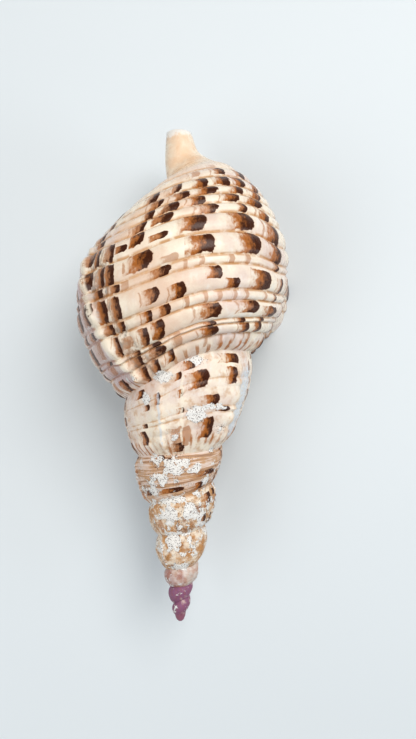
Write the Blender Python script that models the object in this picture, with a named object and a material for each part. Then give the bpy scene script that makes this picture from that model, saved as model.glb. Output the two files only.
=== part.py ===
"""Shell of a large triton snail, about 280 mm long, lying on its opening.

The shell is one grown piece, so it is one closed body: the outside is a
helical sheet that joins itself at the suture, the end of the last turn is
closed by a lip face, and the hollow of the last turn and the slit of the
canal are cut out of it. Coordinates before the resting turn: height above the
apex along the coiling axis, distance from that axis, and turns counted back
from the lip.
"""
import math

import bmesh
import bpy
import numpy as np
from mathutils import Matrix, Vector

MM = 0.001

# Overall size and coiling
SHELL_LENGTH = 280.0 * MM
LIP_ANGLE = math.radians(112.0)
SPIRE_TURNS = 8.35
LIP_TURN = -0.038
EVEN_STEPS = 32
EXTRA_STEPS = (0.25, 0.5, 0.75, 1.5, 13.5, 14.5)

# Suture: (turns back from the lip, height above the apex, distance from the axis), mm
SUTURE = (
    (-0.06, 155.5, 41.3), (0.0, 154.3, 40.6), (0.061, 153.1, 40.0), (0.215, 152.0, 38.3), (0.265, 149.1, 37.1),
    (0.302, 145.7, 36.0), (0.35, 138.9, 34.3), (0.398, 134.3, 32.6), (0.47, 129.7, 31.1),
    (0.561, 126.3, 30.3), (1.061, 101.1, 23.4), (1.561, 94.3, 23.7), (2.061, 81.1, 17.7),
    (2.561, 66.9, 16.8), (3.061, 56.0, 13.3), (3.561, 49.7, 12.1), (4.061, 35.4, 9.2),
    (4.561, 31.4, 7.9), (5.061, 24.0, 6.4), (5.561, 21.7, 5.3), (6.061, 17.1, 4.7),
    (6.561, 12.0, 3.6), (7.061, 8.6, 3.4), (7.561, 6.0, 2.8), (8.061, 3.0, 2.5), (8.6, 0.6, 1.9),
)

# Outline of the last turn from the suture to the canal tip: (height, distance from the axis), mm
PROFILE_RIGHT = (
    (153.1, 40.0), (160.0, 45.1), (166.9, 51.4), (174.3, 56.0), (182.9, 58.9), (194.3, 60.6),
    (205.7, 60.9), (217.1, 58.6), (228.6, 54.3), (240.0, 48.0), (250.3, 38.9), (258.3, 28.6),
    (264.6, 16.6), (270.3, 9.7), (275.4, 7.7), (280.0, 6.3),
)
PROFILE_LEFT = (
    (126.3, 30.3), (133.1, 37.7), (140.6, 45.1), (149.7, 50.3), (160.0, 54.9), (171.4, 57.7),
    (182.9, 57.4), (195.4, 55.1), (206.9, 49.7), (218.3, 41.1), (228.6, 30.3), (236.6, 20.6),
    (242.9, 12.0), (251.4, 8.0), (265.7, 9.2), (280.0, 8.6),
)
PROFILE_INNER = (
    (101.1, 23.4), (107.4, 26.3), (114.3, 31.4), (122.3, 35.4), (131.4, 38.9), (142.9, 40.9),
    (153.1, 40.0), (160.0, 38.3), (166.9, 35.4), (177.1, 29.7), (187.4, 22.3), (197.1, 15.4),
    (206.9, 10.3), (222.9, 8.0), (251.4, 6.5), (280.0, 6.1),
)
PROFILE_TURNS = (0.0611, 0.5611, 1.0611)
PROFILE_LAST = 15.0
SUTURE_COLUMN = 6.0

# Fullness of the turns of the spire: (turns back from the lip, share of their height)
SPIRE_BULGE = ((0.0, 0.105), (2.0, 0.115), (4.0, 0.16), (5.5, 0.2), (8.6, 0.2))
SPIRE_BULGE_POWER = 2.4

# Grooves between the spiral cords: (place on the outline, depth in mm on the last turn)
GROOVES = (
    (1.53, 1.1), (2.38, 0.8), (2.75, 0.9), (3.85, 1.1), (4.40, 1.2), (5.50, 1.1), (5.90, 1.0),
    (6.85, 1.3), (7.73, 1.2), (8.20, 1.0), (8.68, 1.0), (9.15, 0.9), (9.80, 0.8), (10.58, 0.6),
)
GROOVE_HALF_WIDTH = 0.11
CORD_CROWN = 0.5 * MM
FRILL_HEIGHT = 0.9 * MM

# Former lips kept as ridges: (turns back from the lip, height in mm)
VARICES = (
    (0.386, 2.8), (1.165, 2.0), (1.355, 1.2), (1.80, 1.5), (2.52, 1.0), (3.08, 1.0), (3.74, 0.8),
    (4.42, 0.6), (5.10, 0.5), (5.80, 0.4),
)
VARIX_FRONT = 0.012
VARIX_BACK = 0.05
VARIX_LEAN = 0.066

# Lip
LIP_FLARE = 20.0 * MM
LIP_FLARE_TURNS = 0.062
LIP_FLARE_POWER = 1.7
LIP_PLANE = 43.4 * MM
LIP_SWEEP_MOST = math.radians(36.0)
LIP_SWEEP_LEAST = math.radians(-4.0)
LIP_SWEEP_TURNS = 0.16
CANAL_SWEEP = math.radians(44.0)
CANAL_SWEEP_START = 8.5
CANAL_SWEEP_LENGTH = 4.5

# Flatter underside of the last turn
REST_DEPTH = 43.9 * MM
REST_SOFTNESS = 0.15
REST_FLOOR = 44.0 * MM

# Hollow of the last turn and slit of the canal
WALL = 3.4 * MM
RIM = 2.0 * MM
RIM_LEAST = 0.6 * MM
RIM_LIFT = 1.0 * MM
CALLUS = 0.7 * MM
HOLLOW_STEPS = 24
HOLLOW_FRONT = math.radians(70.0)
HOLLOW_BACK = math.radians(-190.0)
HOLLOW_OUTER = (1.3, 12.1)
HOLLOW_INNER = (12.4, 7.2)
HOLLOW_SIDE_POINTS = 12
HOLLOW_SPREAD = 0.45
HOLLOW_END_SCALES = (0.86, 0.6, 0.25)
SLIT_SECTIONS = ((214.0, 3.4, 0.5), (236.0, 3.0, 1.5), (262.0, 2.5, 2.0), (286.0, 2.5, 2.0))
SLIT_DEPTH = 34.0 * MM
SLIT_SHIFT = -0.2 * MM

SHELL_COLOUR = (0.78, 0.66, 0.52, 1.0)
SHELL_ROUGHNESS = 0.32


def remove_all():
    """Empty the file of objects."""
    for obj in list(bpy.data.objects):
        bpy.data.objects.remove(obj, do_unlink=True)


def ease(x):
    """Smooth step from 0 to 1."""
    x = min(max(x, 0.0), 1.0)
    return x * x * (3.0 - 2.0 * x)


class Curve:
    """Cubic through given points that keeps their rise and fall."""

    def __init__(self, xs, ys):
        self.xs = np.array(xs, float)
        self.ys = np.array(ys, float)
        step = np.diff(self.xs)
        slope = np.diff(self.ys) / step
        self.slopes = np.zeros(len(self.xs))
        self.slopes[0] = slope[0]
        self.slopes[-1] = slope[-1]
        for i in range(1, len(self.xs) - 1):
            if slope[i - 1] * slope[i] > 0.0:
                before = 2.0 * step[i] + step[i - 1]
                after = step[i] + 2.0 * step[i - 1]
                self.slopes[i] = (before + after) / (before / slope[i - 1] + after / slope[i])

    def at(self, x):
        """Value of the curve at x, held at the ends."""
        x = min(max(x, self.xs[0]), self.xs[-1])
        i = int(np.searchsorted(self.xs, x, side="right")) - 1
        i = min(max(i, 0), len(self.xs) - 2)
        width = self.xs[i + 1] - self.xs[i]
        s = (x - self.xs[i]) / width
        return (
            self.ys[i] * (1.0 + 2.0 * s) * (1.0 - s) ** 2
            + self.slopes[i] * width * s * (1.0 - s) ** 2
            + self.ys[i + 1] * s * s * (3.0 - 2.0 * s)
            + self.slopes[i + 1] * width * s * s * (s - 1.0)
        )


SUTURE_HEIGHT = Curve([p[0] for p in SUTURE], [p[1] * MM for p in SUTURE])
SUTURE_RADIUS = Curve([p[0] for p in SUTURE], [p[2] * MM for p in SUTURE])
BULGE = Curve([p[0] for p in SPIRE_BULGE], [p[1] for p in SPIRE_BULGE])
PROFILES = tuple(
    (
        Curve(range(len(profile)), [p[0] * MM for p in profile]),
        Curve(range(len(profile)), [p[1] * MM for p in profile]),
    )
    for profile in (PROFILE_RIGHT, PROFILE_LEFT, PROFILE_INNER)
)


def suture(turns):
    """Height and radius of the suture."""
    return np.array((SUTURE_HEIGHT.at(turns), SUTURE_RADIUS.at(turns)))


def body_outline(turns, place):
    """Height and radius on the last turn at a place from 0, suture, to 15, canal tip."""
    points = [np.array((h.at(place), r.at(place))) for h, r in PROFILES]
    first, second, third = PROFILE_TURNS
    if turns < second:
        share = (turns - first) / (second - first)
        a, b = points[0], points[1]
    else:
        share = (turns - second) / (third - second)
        a, b = points[1], points[2]
    share = max(share, -0.2)
    eased = ease(share) if 0.0 <= share <= 1.0 else share
    base = ease((place - 5.0) / 4.0)
    share = share * (1.0 - base) + eased * base
    return a + (b - a) * min(share, 1.8)


def last_turn(turns, place):
    """Outline of the last turn drawn onto the suture."""
    point = body_outline(turns, place)
    pull = max(1.0 - place / 5.0, 0.0) ** 1.6
    return point + (suture(turns) - body_outline(turns, 0.0)) * pull


def next_suture(turns):
    """Where the next turn covers this one; on the last turn, where it would."""
    if turns >= 1.0 + LIP_TURN:
        return suture(turns - 1.0)
    joined = ease((turns - 0.7 - LIP_TURN) / 0.3)
    return last_turn(turns, SUTURE_COLUMN) + JOIN_SHIFT * joined


def spire_turn(turns, place):
    """Outline of a turn of the spire between two sutures."""
    low = suture(turns)
    high = next_suture(turns)
    share = min(place / SUTURE_COLUMN, 1.0)
    point = low + (high - low) * share
    full = 1.0 - abs(2.0 * share - 1.0) ** SPIRE_BULGE_POWER
    point[1] += BULGE.at(turns) * (high[0] - low[0]) * full
    return point


def outline(turns, place):
    """Height and radius of the plain outside, without cords or ridges."""
    if turns >= 1.0 + LIP_TURN and place <= SUTURE_COLUMN:
        return spire_turn(turns, place)
    point = last_turn(turns, place)
    weight = ease((turns - 0.7 - LIP_TURN) / 0.3)
    if weight > 0.0:
        near = min(place, SUTURE_COLUMN)
        fade = max(1.0 - (place - near) / 3.0, 0.0) ** 1.5
        shift = spire_turn(turns, near) - last_turn(turns, near)
        point = point + shift * weight * fade
    return point


JOIN_SHIFT = suture(LIP_TURN) - last_turn(1.0 + LIP_TURN, SUTURE_COLUMN)


def flare(turns, place):
    """How far the lip turns outward from the plain outside."""
    near = max(1.0 - (turns - LIP_TURN) / LIP_FLARE_TURNS, 0.0) ** LIP_FLARE_POWER
    along = (0.4 * ease(place / 0.7) + 0.6 * ease(place / 4.0)) * (1.0 - ease((place - 4.5) / 5.5))
    return LIP_FLARE * near * along


def relief(turns, place):
    """Height of the cords, frill, ridges and flared lip over the plain outside."""
    size = min(outline(turns, min(place, 3.0))[1] / (60.0 * MM), 1.0)
    value = 0.0
    edges = [0.0] + [g[0] for g in GROOVES] + [11.5]
    for groove, depth in GROOVES:
        near = abs(place - groove) / GROOVE_HALF_WIDTH
        if near < 1.0:
            value -= depth * MM * (1.0 - near)
    for low, high in zip(edges[:-1], edges[1:]):
        if low < place < high and high - low > 0.7:
            value += CORD_CROWN * math.sin(math.pi * (place - low) / (high - low))
    if place < GROOVES[0][0]:
        value += FRILL_HEIGHT * math.sin(math.pi * place / GROOVES[0][0])
    if turns >= 1.0 + LIP_TURN:
        value *= math.sin(math.pi * min(place / SUTURE_COLUMN, 1.0)) ** 0.3
    value *= size
    for centre, height in VARICES:
        lean = VARIX_LEAN * (place / SUTURE_COLUMN) if centre < 1.0 else 0.0
        away = turns - (centre + lean)
        if away < 0.0:
            share = 1.0 - min(-away / VARIX_FRONT, 1.0)
        else:
            share = 1.0 - ease(away / VARIX_BACK)
        fade = ease(place / 1.2) * (1.0 - ease((place - 9.0) / 2.5))
        if turns >= 1.0 + LIP_TURN:
            fade *= ease((SUTURE_COLUMN - place) / 1.6)
        value += height * MM * share * fade
    return value + flare(turns, place)


def outline_normal(turns, place):
    """Outward direction of the outline in the half plane."""
    a = outline(turns, max(place - 0.2, 0.0))
    b = outline(turns, min(place + 0.2, PROFILE_LAST))
    along = b - a
    normal = np.array((-along[1], along[0]))
    return normal / np.linalg.norm(normal)


def lip_sweep(place):
    """Extra angle that brings the lip edge down to the plane of rest."""
    if place > 10.0:
        return LIP_SWEEP_MOST
    point = outline(LIP_TURN, place) + outline_normal(LIP_TURN, place) * flare(LIP_TURN, place)
    if point[1] * math.cos(LIP_ANGLE - 2.0 * math.pi * LIP_TURN + LIP_SWEEP_MOST) > -LIP_PLANE:
        extra = LIP_SWEEP_MOST
    else:
        extra = math.acos(-LIP_PLANE / point[1]) - LIP_ANGLE + 2.0 * math.pi * LIP_TURN
    extra = min(max(extra, LIP_SWEEP_LEAST), LIP_SWEEP_MOST)
    return extra * ease((place - 1.0) / 2.0)


LIP_SWEEP = Curve(range(16), [lip_sweep(float(p)) for p in range(16)])


def sweep(turns, place):
    """Extra angle that carries the end of the lip round to the canal slit."""
    near_lip = LIP_SWEEP.at(place) * (1.0 - ease((turns - LIP_TURN) / LIP_SWEEP_TURNS))
    far_side = CANAL_SWEEP * ease((turns - 0.6) / 0.4)
    far_side *= ease((place - CANAL_SWEEP_START) / CANAL_SWEEP_LENGTH)
    return near_lip + far_side


def place_point(height, radius, angle):
    """Point in space: coiling axis along Y, angle from up towards the right."""
    return Vector((radius * math.sin(angle), height - SHELL_LENGTH / 2.0, radius * math.cos(angle)))


def flatten(point, lift=0.0):
    """Press the worn underside towards the plane on which the shell rests."""
    if point.z < -REST_DEPTH:
        point.z = -REST_DEPTH + (point.z + REST_DEPTH) * REST_SOFTNESS
        point.z = max(point.z, -REST_FLOOR + lift)
    return point


def outside_point(turns, place):
    """Point of the finished outside."""
    point = outline(turns, place) + outline_normal(turns, place) * relief(turns, place)
    angle = LIP_ANGLE - 2.0 * math.pi * turns + sweep(turns, place)
    return flatten(place_point(point[0], max(point[1], 0.3 * MM), angle))


def rim_point(place):
    """Point on the inner line of the rim."""
    depth = RIM * (1.0 - ease((place - 8.5) / 4.0)) * ease(place / 1.5) + RIM_LEAST
    depth -= flare(LIP_TURN, place)
    point = outline(LIP_TURN, place) - outline_normal(LIP_TURN, place) * depth
    angle = LIP_ANGLE - 2.0 * math.pi * LIP_TURN + sweep(LIP_TURN, place)
    return flatten(place_point(point[0], point[1], angle), RIM_LIFT)


def cord_places(low, high, fine):
    """Columns that follow the grooves: three per groove when fine, otherwise one."""
    places = {low, high}
    edges = [g[0] for g in GROOVES if low < g[0] < high]
    for edge in edges:
        if fine:
            places.update((edge - GROOVE_HALF_WIDTH, edge))
            if edge + GROOVE_HALF_WIDTH < high - 0.02:
                places.add(edge + GROOVE_HALF_WIDTH)
        else:
            places.add(edge)
    bounds = [low] + edges + [high]
    for a, b in zip(bounds[:-1], bounds[1:]):
        if b - a > 0.7:
            places.add((a + b) / 2.0)
    return sorted(places)


def row_places(turns):
    """Columns of one row of the outside."""
    if turns < 1.0 + LIP_TURN - 0.001:
        return cord_places(0.0, 11.2, True) + [12.0, 13.0, 14.0, PROFILE_LAST]
    if turns < 1.9:
        return cord_places(0.0, SUTURE_COLUMN, True)
    if turns < 3.6:
        return [0.0, 0.8, 1.53, 2.6, 3.3, 3.85, 4.6, 5.3, SUTURE_COLUMN]
    if turns < 5.5:
        return [0.0, 1.2, 2.6, 4.6, SUTURE_COLUMN]
    return [0.0, 2.0, 4.2, SUTURE_COLUMN]


def zip_rows(mesh, left, right):
    """Fill between two rows of (share, vertex) with triangles."""
    i = j = 0
    while i < len(left) - 1 or j < len(right) - 1:
        step_left = j == len(right) - 1 or (
            i < len(left) - 1 and left[i + 1][0] <= right[j + 1][0]
        )
        if step_left:
            corners = (left[i][1], left[i + 1][1], right[j][1])
            i += 1
        else:
            corners = (left[i][1], right[j + 1][1], right[j][1])
            j += 1
        if len(set(corners)) == 3:
            mesh.faces.new(corners)


def outer_body():
    """Closed body of the whole shell before it is hollowed."""
    mesh = bmesh.new()
    rows = []
    steps = sorted(list(range(EVEN_STEPS)) + list(EXTRA_STEPS))
    per_turn = len(steps)
    count = int(SPIRE_TURNS * per_turn)
    for i in range(count + 1):
        turns = LIP_TURN + i // per_turn + steps[i % per_turn] / EVEN_STEPS
        row = []
        places = row_places(turns)
        if i == per_turn:
            places = row_places(1.0) + [p for p in row_places(0.0) if p > SUTURE_COLUMN]
        for place in places:
            if i >= per_turn and place == SUTURE_COLUMN:
                row.append((place, rows[i - per_turn][0][1]))
            else:
                row.append((place, mesh.verts.new(outside_point(turns, place))))
        rows.append(row)
    for i in range(count):
        here, after = rows[i], rows[i + 1]
        if i == per_turn:
            here = [c for c in here if c[0] <= SUTURE_COLUMN]
        zip_rows(mesh, here, after)
    # lip face: a rim, then a lid down to the wall of the turn under it
    rim = [rows[0][0]]
    for place, _ in rows[0][1:]:
        rim.append((place, mesh.verts.new(rim_point(place))))
    zip_rows(mesh, rim, rows[0])
    lip = [(c[0] / PROFILE_LAST, c[1]) for c in rim]
    under = [
        ((c[0] - SUTURE_COLUMN) / (PROFILE_LAST - SUTURE_COLUMN), c[1])
        for c in rows[per_turn] if c[0] >= SUTURE_COLUMN
    ]
    zip_rows(mesh, under, lip)
    # end of the canal
    ring = [row[-1][1] for row in rows[:per_turn + 1]] + [rim[-1][1]]
    centre = mesh.verts.new(sum((v.co for v in ring), Vector()) / len(ring))
    for a, b in zip(ring, ring[1:] + ring[:1]):
        mesh.faces.new((a, b, centre))
    # apex: close the last turn over the axis
    edge = [e for e in mesh.edges if len(e.link_faces) == 1]
    loop = bmesh.ops.holes_fill(mesh, edges=edge, sides=0)
    bmesh.ops.triangulate(mesh, faces=loop["faces"])
    bmesh.ops.recalc_face_normals(mesh, faces=mesh.faces)
    return mesh


def hollow_loop(angle):
    """One section of the hollow, as points round it."""
    turns = (LIP_ANGLE - angle) / (2.0 * math.pi)
    outer_turns = max(turns, LIP_TURN)
    ahead = max(LIP_TURN - turns, 0.0) / 0.1
    points = []
    angles = []
    for i in range(HOLLOW_SIDE_POINTS):
        share = i / (HOLLOW_SIDE_POINTS - 1)
        place = HOLLOW_OUTER[0] + (HOLLOW_OUTER[1] - HOLLOW_OUTER[0]) * share
        depth = WALL - flare(outer_turns, place)
        point = outline(outer_turns, place) - outline_normal(outer_turns, place) * depth
        spread = 1.0 + HOLLOW_SPREAD * ahead * (1.0 - ease((place - 7.0) / 2.5))
        point[1] *= spread
        points.append(point)
        angles.append(angle + sweep(outer_turns, place))
    for i in range(HOLLOW_SIDE_POINTS):
        share = i / (HOLLOW_SIDE_POINTS - 1)
        place = HOLLOW_INNER[0] + (HOLLOW_INNER[1] - HOLLOW_INNER[0]) * share
        points.append(inner_outline(turns + 1.0, place))
        angles.append(angle + sweep(turns + 1.0, place))
    return points, angles


def inner_outline(turns, place):
    """Wall of the turn before, raised by the callus."""
    a = body_outline(turns, max(place - 0.3, 0.0))
    b = body_outline(turns, place + 0.3)
    along = b - a
    normal = np.array((-along[1], along[0])) / np.linalg.norm(along)
    point = outline(turns, place) if turns < 1.0 else body_outline(turns, place)
    return point + normal * CALLUS


def hollow_body():
    """Closed body of the space inside the last turn."""
    mesh = bmesh.new()
    loops = []
    start = LIP_ANGLE + HOLLOW_FRONT
    end = LIP_ANGLE + HOLLOW_BACK
    sections = []
    for k in range(HOLLOW_STEPS + 1):
        angle = start + (end - start) * k / HOLLOW_STEPS
        sections.append((angle, hollow_loop(angle), 1.0))
    step = (end - start) / HOLLOW_STEPS
    for k, scale in enumerate(HOLLOW_END_SCALES):
        angle = end + step * (k + 1) * 0.8
        sections.append((angle, hollow_loop(angle), scale))
    for _, (points, angles), scale in sections:
        middle = sum(points) / len(points)
        loop = []
        for point, angle in zip(points, angles):
            height, radius = middle + (point - middle) * scale
            loop.append(mesh.verts.new(place_point(height, radius, angle)))
        loops.append(loop)
    for a, b in zip(loops[:-1], loops[1:]):
        n = len(a)
        for i in range(n):
            mesh.faces.new((a[i], a[(i + 1) % n], b[(i + 1) % n], b[i]))
    mesh.faces.new(loops[0])
    mesh.faces.new(loops[-1])
    bmesh.ops.triangulate(mesh, faces=mesh.faces)
    bmesh.ops.recalc_face_normals(mesh, faces=mesh.faces)
    return mesh


def slit_body():
    """Closed body of the canal's groove, open on the side of the aperture."""
    mesh = bmesh.new()
    loops = []
    for height, half, top in SLIT_SECTIONS:
        loop = []
        y = height * MM - SHELL_LENGTH / 2.0
        corners = (
            (-half, -SLIT_DEPTH / MM), (half, -SLIT_DEPTH / MM), (half, top - half * 0.8),
            (half * 0.5, top), (-half * 0.5, top), (-half, top - half * 0.8),
        )
        for x, z in corners:
            loop.append(mesh.verts.new((x * MM + SLIT_SHIFT, y, z * MM)))
        loops.append(loop)
    for a, b in zip(loops[:-1], loops[1:]):
        n = len(a)
        for i in range(n):
            mesh.faces.new((a[i], a[(i + 1) % n], b[(i + 1) % n], b[i]))
    mesh.faces.new(loops[0])
    mesh.faces.new(loops[-1])
    bmesh.ops.triangulate(mesh, faces=mesh.faces)
    bmesh.ops.recalc_face_normals(mesh, faces=mesh.faces)
    return mesh


def add_object(name, mesh):
    """Turn a bmesh into an object."""
    data = bpy.data.meshes.new(name)
    mesh.to_mesh(data)
    mesh.free()
    obj = bpy.data.objects.new(name, data)
    bpy.context.collection.objects.link(obj)
    return obj


def cut(body, tool):
    """Subtract one body from another and drop the tool."""
    step = body.modifiers.new("cut", "BOOLEAN")
    step.operation = "DIFFERENCE"
    step.solver = "EXACT"
    step.object = tool
    bpy.context.view_layer.objects.active = body
    bpy.ops.object.select_all(action="DESELECT")
    body.select_set(True)
    bpy.ops.object.modifier_apply(modifier=step.name)
    bpy.data.objects.remove(tool, do_unlink=True)


def settle(obj):
    """Put the middle of the underside at the origin."""
    points = np.array([v.co[:] for v in obj.data.vertices])
    low, high = points.min(axis=0), points.max(axis=0)
    middle = (low + high) / 2.0
    obj.data.transform(Matrix.Translation((-middle[0], -middle[1], -low[2])))


def tidy(obj):
    """Join points closer than a hundredth of a millimetre and keep triangles."""
    mesh = bmesh.new()
    mesh.from_mesh(obj.data)
    bmesh.ops.remove_doubles(mesh, verts=mesh.verts, dist=0.01 * MM)
    bmesh.ops.triangulate(mesh, faces=mesh.faces)
    mesh.to_mesh(obj.data)
    mesh.free()


def shell_material():
    """Glossy cream shell."""
    material = bpy.data.materials.new("shell")
    material.use_nodes = True
    surface = material.node_tree.nodes["Principled BSDF"]
    surface.inputs["Base Color"].default_value = SHELL_COLOUR
    surface.inputs["Roughness"].default_value = SHELL_ROUGHNESS
    return material


def main():
    """Build the shell."""
    remove_all()
    shell = add_object("triton_shell", outer_body())
    cut(shell, add_object("hollow", hollow_body()))
    cut(shell, add_object("slit", slit_body()))
    tidy(shell)
    settle(shell)
    shell.data.materials.append(shell_material())


main()
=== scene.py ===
"""Shell of a large triton snail on a pale floor, seen from above.

The turns, the lip and the canal are one closed sheet. The hollow of the last turn and the
slit of the canal are cut out of it. A point of the outside is given by the turns counted
back from the lip and by its place across a turn, from 0 at the suture to 15 at the canal tip.
"""
import math
import random

import bmesh
import bpy
import numpy as np
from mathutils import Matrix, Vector, noise


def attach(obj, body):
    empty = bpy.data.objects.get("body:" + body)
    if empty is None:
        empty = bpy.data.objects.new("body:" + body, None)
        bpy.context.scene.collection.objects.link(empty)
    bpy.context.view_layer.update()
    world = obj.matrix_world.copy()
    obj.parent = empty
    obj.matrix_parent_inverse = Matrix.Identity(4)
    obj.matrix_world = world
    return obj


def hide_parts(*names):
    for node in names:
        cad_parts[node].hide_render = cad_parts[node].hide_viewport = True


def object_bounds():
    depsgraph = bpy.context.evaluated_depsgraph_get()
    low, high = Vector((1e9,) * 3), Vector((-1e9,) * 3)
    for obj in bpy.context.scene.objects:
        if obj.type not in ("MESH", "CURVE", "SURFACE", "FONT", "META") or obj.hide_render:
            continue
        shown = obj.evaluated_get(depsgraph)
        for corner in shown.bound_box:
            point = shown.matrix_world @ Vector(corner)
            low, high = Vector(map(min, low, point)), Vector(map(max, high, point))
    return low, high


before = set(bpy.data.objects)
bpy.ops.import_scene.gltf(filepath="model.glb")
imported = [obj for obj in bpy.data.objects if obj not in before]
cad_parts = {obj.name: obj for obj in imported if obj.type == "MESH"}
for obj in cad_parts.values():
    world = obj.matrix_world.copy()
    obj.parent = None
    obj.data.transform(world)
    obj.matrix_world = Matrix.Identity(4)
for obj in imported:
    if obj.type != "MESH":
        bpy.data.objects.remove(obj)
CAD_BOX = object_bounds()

bl_info = {
    "name": "Triton shell",
    "version": (1, 0, 0),
    "blender": (4, 5, 0),
    "location": "View3D > Sidebar > Triton shell",
    "description": "Models a large triton shell with its cords, frill, marks and worn spire",
    "category": "Object",
}

MM = 0.001
TURN = 2.0 * math.pi
NODE = "triton_shell"
BODY = "root"

# Coiling
SHELL_LENGTH = 280.0 * MM
LIP_DEGREES = 112.0
LIP_ANGLE = math.radians(LIP_DEGREES)
LIP_TURN = -0.038
# Turns back from the lip at which the last turn ends and the spire starts
SPIRE_START = 1.0 + LIP_TURN
SPIRE_TURNS = 8.35
APEX_TURNS = 7.9
ROWS = 288
SETTLE = Vector((-5.165, -1.068, 44.0)) * MM

# Suture: turns back from the lip, distance from the apex along the axis, and from the axis, mm
SUTURE = (
    (-0.06, 155.5, 41.3), (0.0, 154.3, 40.6), (0.061, 153.1, 40.0), (0.215, 152.0, 38.3),
    (0.265, 149.1, 37.1), (0.302, 145.7, 36.0), (0.35, 138.9, 34.3), (0.398, 134.3, 32.6),
    (0.47, 129.7, 31.1), (0.561, 126.3, 30.3), (1.061, 101.1, 23.4), (1.561, 94.3, 23.7),
    (2.061, 81.1, 17.7), (2.561, 66.9, 16.8), (3.061, 56.0, 13.3), (3.561, 49.7, 12.1),
    (4.061, 35.4, 9.2), (4.561, 31.4, 7.9), (5.061, 24.0, 6.4), (5.561, 21.7, 5.3),
    (6.061, 17.1, 4.7), (6.561, 12.0, 3.6), (7.061, 8.6, 3.4), (7.561, 6.0, 2.8),
    (8.061, 3.0, 2.5), (8.6, 0.6, 1.9),
)

# Outline of the last turn from suture to canal tip: the same two distances, mm
PROFILE_RIGHT = (
    (153.1, 40.0), (160.0, 45.1), (166.9, 51.4), (174.3, 56.0), (182.9, 58.9), (194.3, 60.6),
    (205.7, 60.9), (217.1, 58.6), (228.6, 54.3), (240.0, 48.0), (250.3, 38.9), (258.3, 28.6),
    (264.6, 16.6), (270.3, 9.7), (275.4, 7.7), (280.0, 6.3),
)
PROFILE_LEFT = (
    (126.3, 30.3), (133.1, 37.7), (140.6, 45.1), (149.7, 50.3), (160.0, 54.9), (171.4, 57.7),
    (182.9, 57.4), (195.4, 55.1), (206.9, 49.7), (218.3, 41.1), (228.6, 30.3), (236.6, 20.6),
    (242.9, 12.0), (251.4, 8.0), (265.7, 9.2), (280.0, 8.6),
)
PROFILE_INNER = (
    (101.1, 23.4), (107.4, 26.3), (114.3, 31.4), (122.3, 35.4), (131.4, 38.9), (142.9, 40.9),
    (153.1, 40.0), (160.0, 38.3), (166.9, 35.4), (177.1, 29.7), (187.4, 22.3), (197.1, 15.4),
    (206.9, 10.3), (222.9, 8.0), (251.4, 6.5), (280.0, 6.1),
)
PROFILE_TURNS = (0.0611, 0.5611, 1.0611)
LAST_PLACE = 15.0
SUTURE_PLACE = 6.0
# Fullness of the turns of the spire: turns back from the lip, share of their height
SPIRE_BULGE = ((0.0, 0.105), (2.0, 0.115), (4.0, 0.16), (5.5, 0.2), (8.6, 0.2))
SPIRE_BULGE_POWER = 2.4

# Spiral cords: place of each edge, depth in mm of the groove there on the last turn
CORD_EDGES = (
    0.0, 1.53, 2.38, 2.75, 3.85, 4.40, 5.50, 5.90, 6.85, 7.73, 8.20, 8.68, 9.15, 9.80, 10.58, 11.5,
)
GROOVE_DEPTHS = (0.0, 1.1, 0.8, 0.9, 1.1, 1.2, 1.1, 1.0, 1.3, 1.2, 1.0, 1.0, 0.9, 0.8, 0.6, 0.0)
# The same grooves as a share of that depth on the turn before the last
SECOND_TURN_GROOVES = (0.0, 0.35, 0.9, 0.8, 0.15, 0.8, 0.15) + (0.0,) * 9
OLD_GROOVES = 0.25
# How far the cords wander across the last turn: turns, change of place
DRIFT_SHOULDER = (
    (0.0, 0.0), (0.193, -0.02), (0.24, 0.0), (0.275, -0.05), (0.302, -0.27), (0.335, -0.55),
    (0.39, -0.8), (0.5, -0.7), (0.75, 0.0),
)
DRIFT_MIDDLE = (
    (0.0, 0.0), (0.08, -0.45), (0.14, -0.5), (0.168, -0.27), (0.188, -0.1), (0.22, 0.0),
    (0.278, 0.0), (0.302, -0.05), (0.328, -0.2), (0.355, -0.37), (0.383, -0.52), (0.5, -0.5),
    (0.75, 0.0),
)
DRIFT_PLACES = (0.0, 2.75, 6.85, 11.5)

# Former lips: turns back from the lip, height in mm, then the half width of the line along the
# edge and its place before the ridge, in turns, and its strength; that line is worn cream on the
# last turn and in one strip, elsewhere painted shade and painted bluish sheen
VARICES = (
    (0.386, 3.0, 0.008, -0.002, 1.0), (1.165, 2.2, 0.032, 0.035, 1.0),
    (1.3, 0.5, 0.005, -0.002, 1.0), (1.355, 1.2, 0.007, -0.002, 0.78),
    (1.80, 1.5, 0.006, -0.002, 1.0), (2.52, 1.0, 0.006, -0.002, 1.0),
    (3.08, 1.0, 0.006, -0.002, 1.0), (3.74, 0.8, 0.006, -0.002, 1.0),
    (4.42, 0.6, 0.006, -0.002, 1.0), (5.10, 0.5, 0.006, -0.002, 1.0),
    (5.80, 0.4, 0.006, -0.002, 1.0),
)
VARIX_FRONT = 0.009
VARIX_BACK = 0.05
VARIX_LEAN = 0.066
VARIX_SCALLOP = 0.004

# Relief: smooth steps over turns or places, where each starts and how long it is
SECOND_RELIEF = (0.75, 0.3)
OLD_RELIEF = (1.75, 0.3)
FRILL_WORN = (1.9, 0.4)
CANAL_RELIEF = (10.8, 1.5)
VARIX_END = (6.6, 2.6)
FOOT_START = (0.003, 0.008)
FOOT_END = (0.03, 0.03)
# Where the painted shade behind the first former lip starts, and where it fades out
PAINTED_SHADE_START = (0.008, 0.01)
PAINTED_SHADE_END = (0.07, 0.06)
BROAD_CORD = 0.7
NARROW_CROWN = 0.6
THREAD_HEIGHT = 0.12 * MM
FULL_RADIUS = 60.0 * MM
ROUGH_GRAIN = 420.0
LEAST_RADIUS = 0.3 * MM

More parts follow.
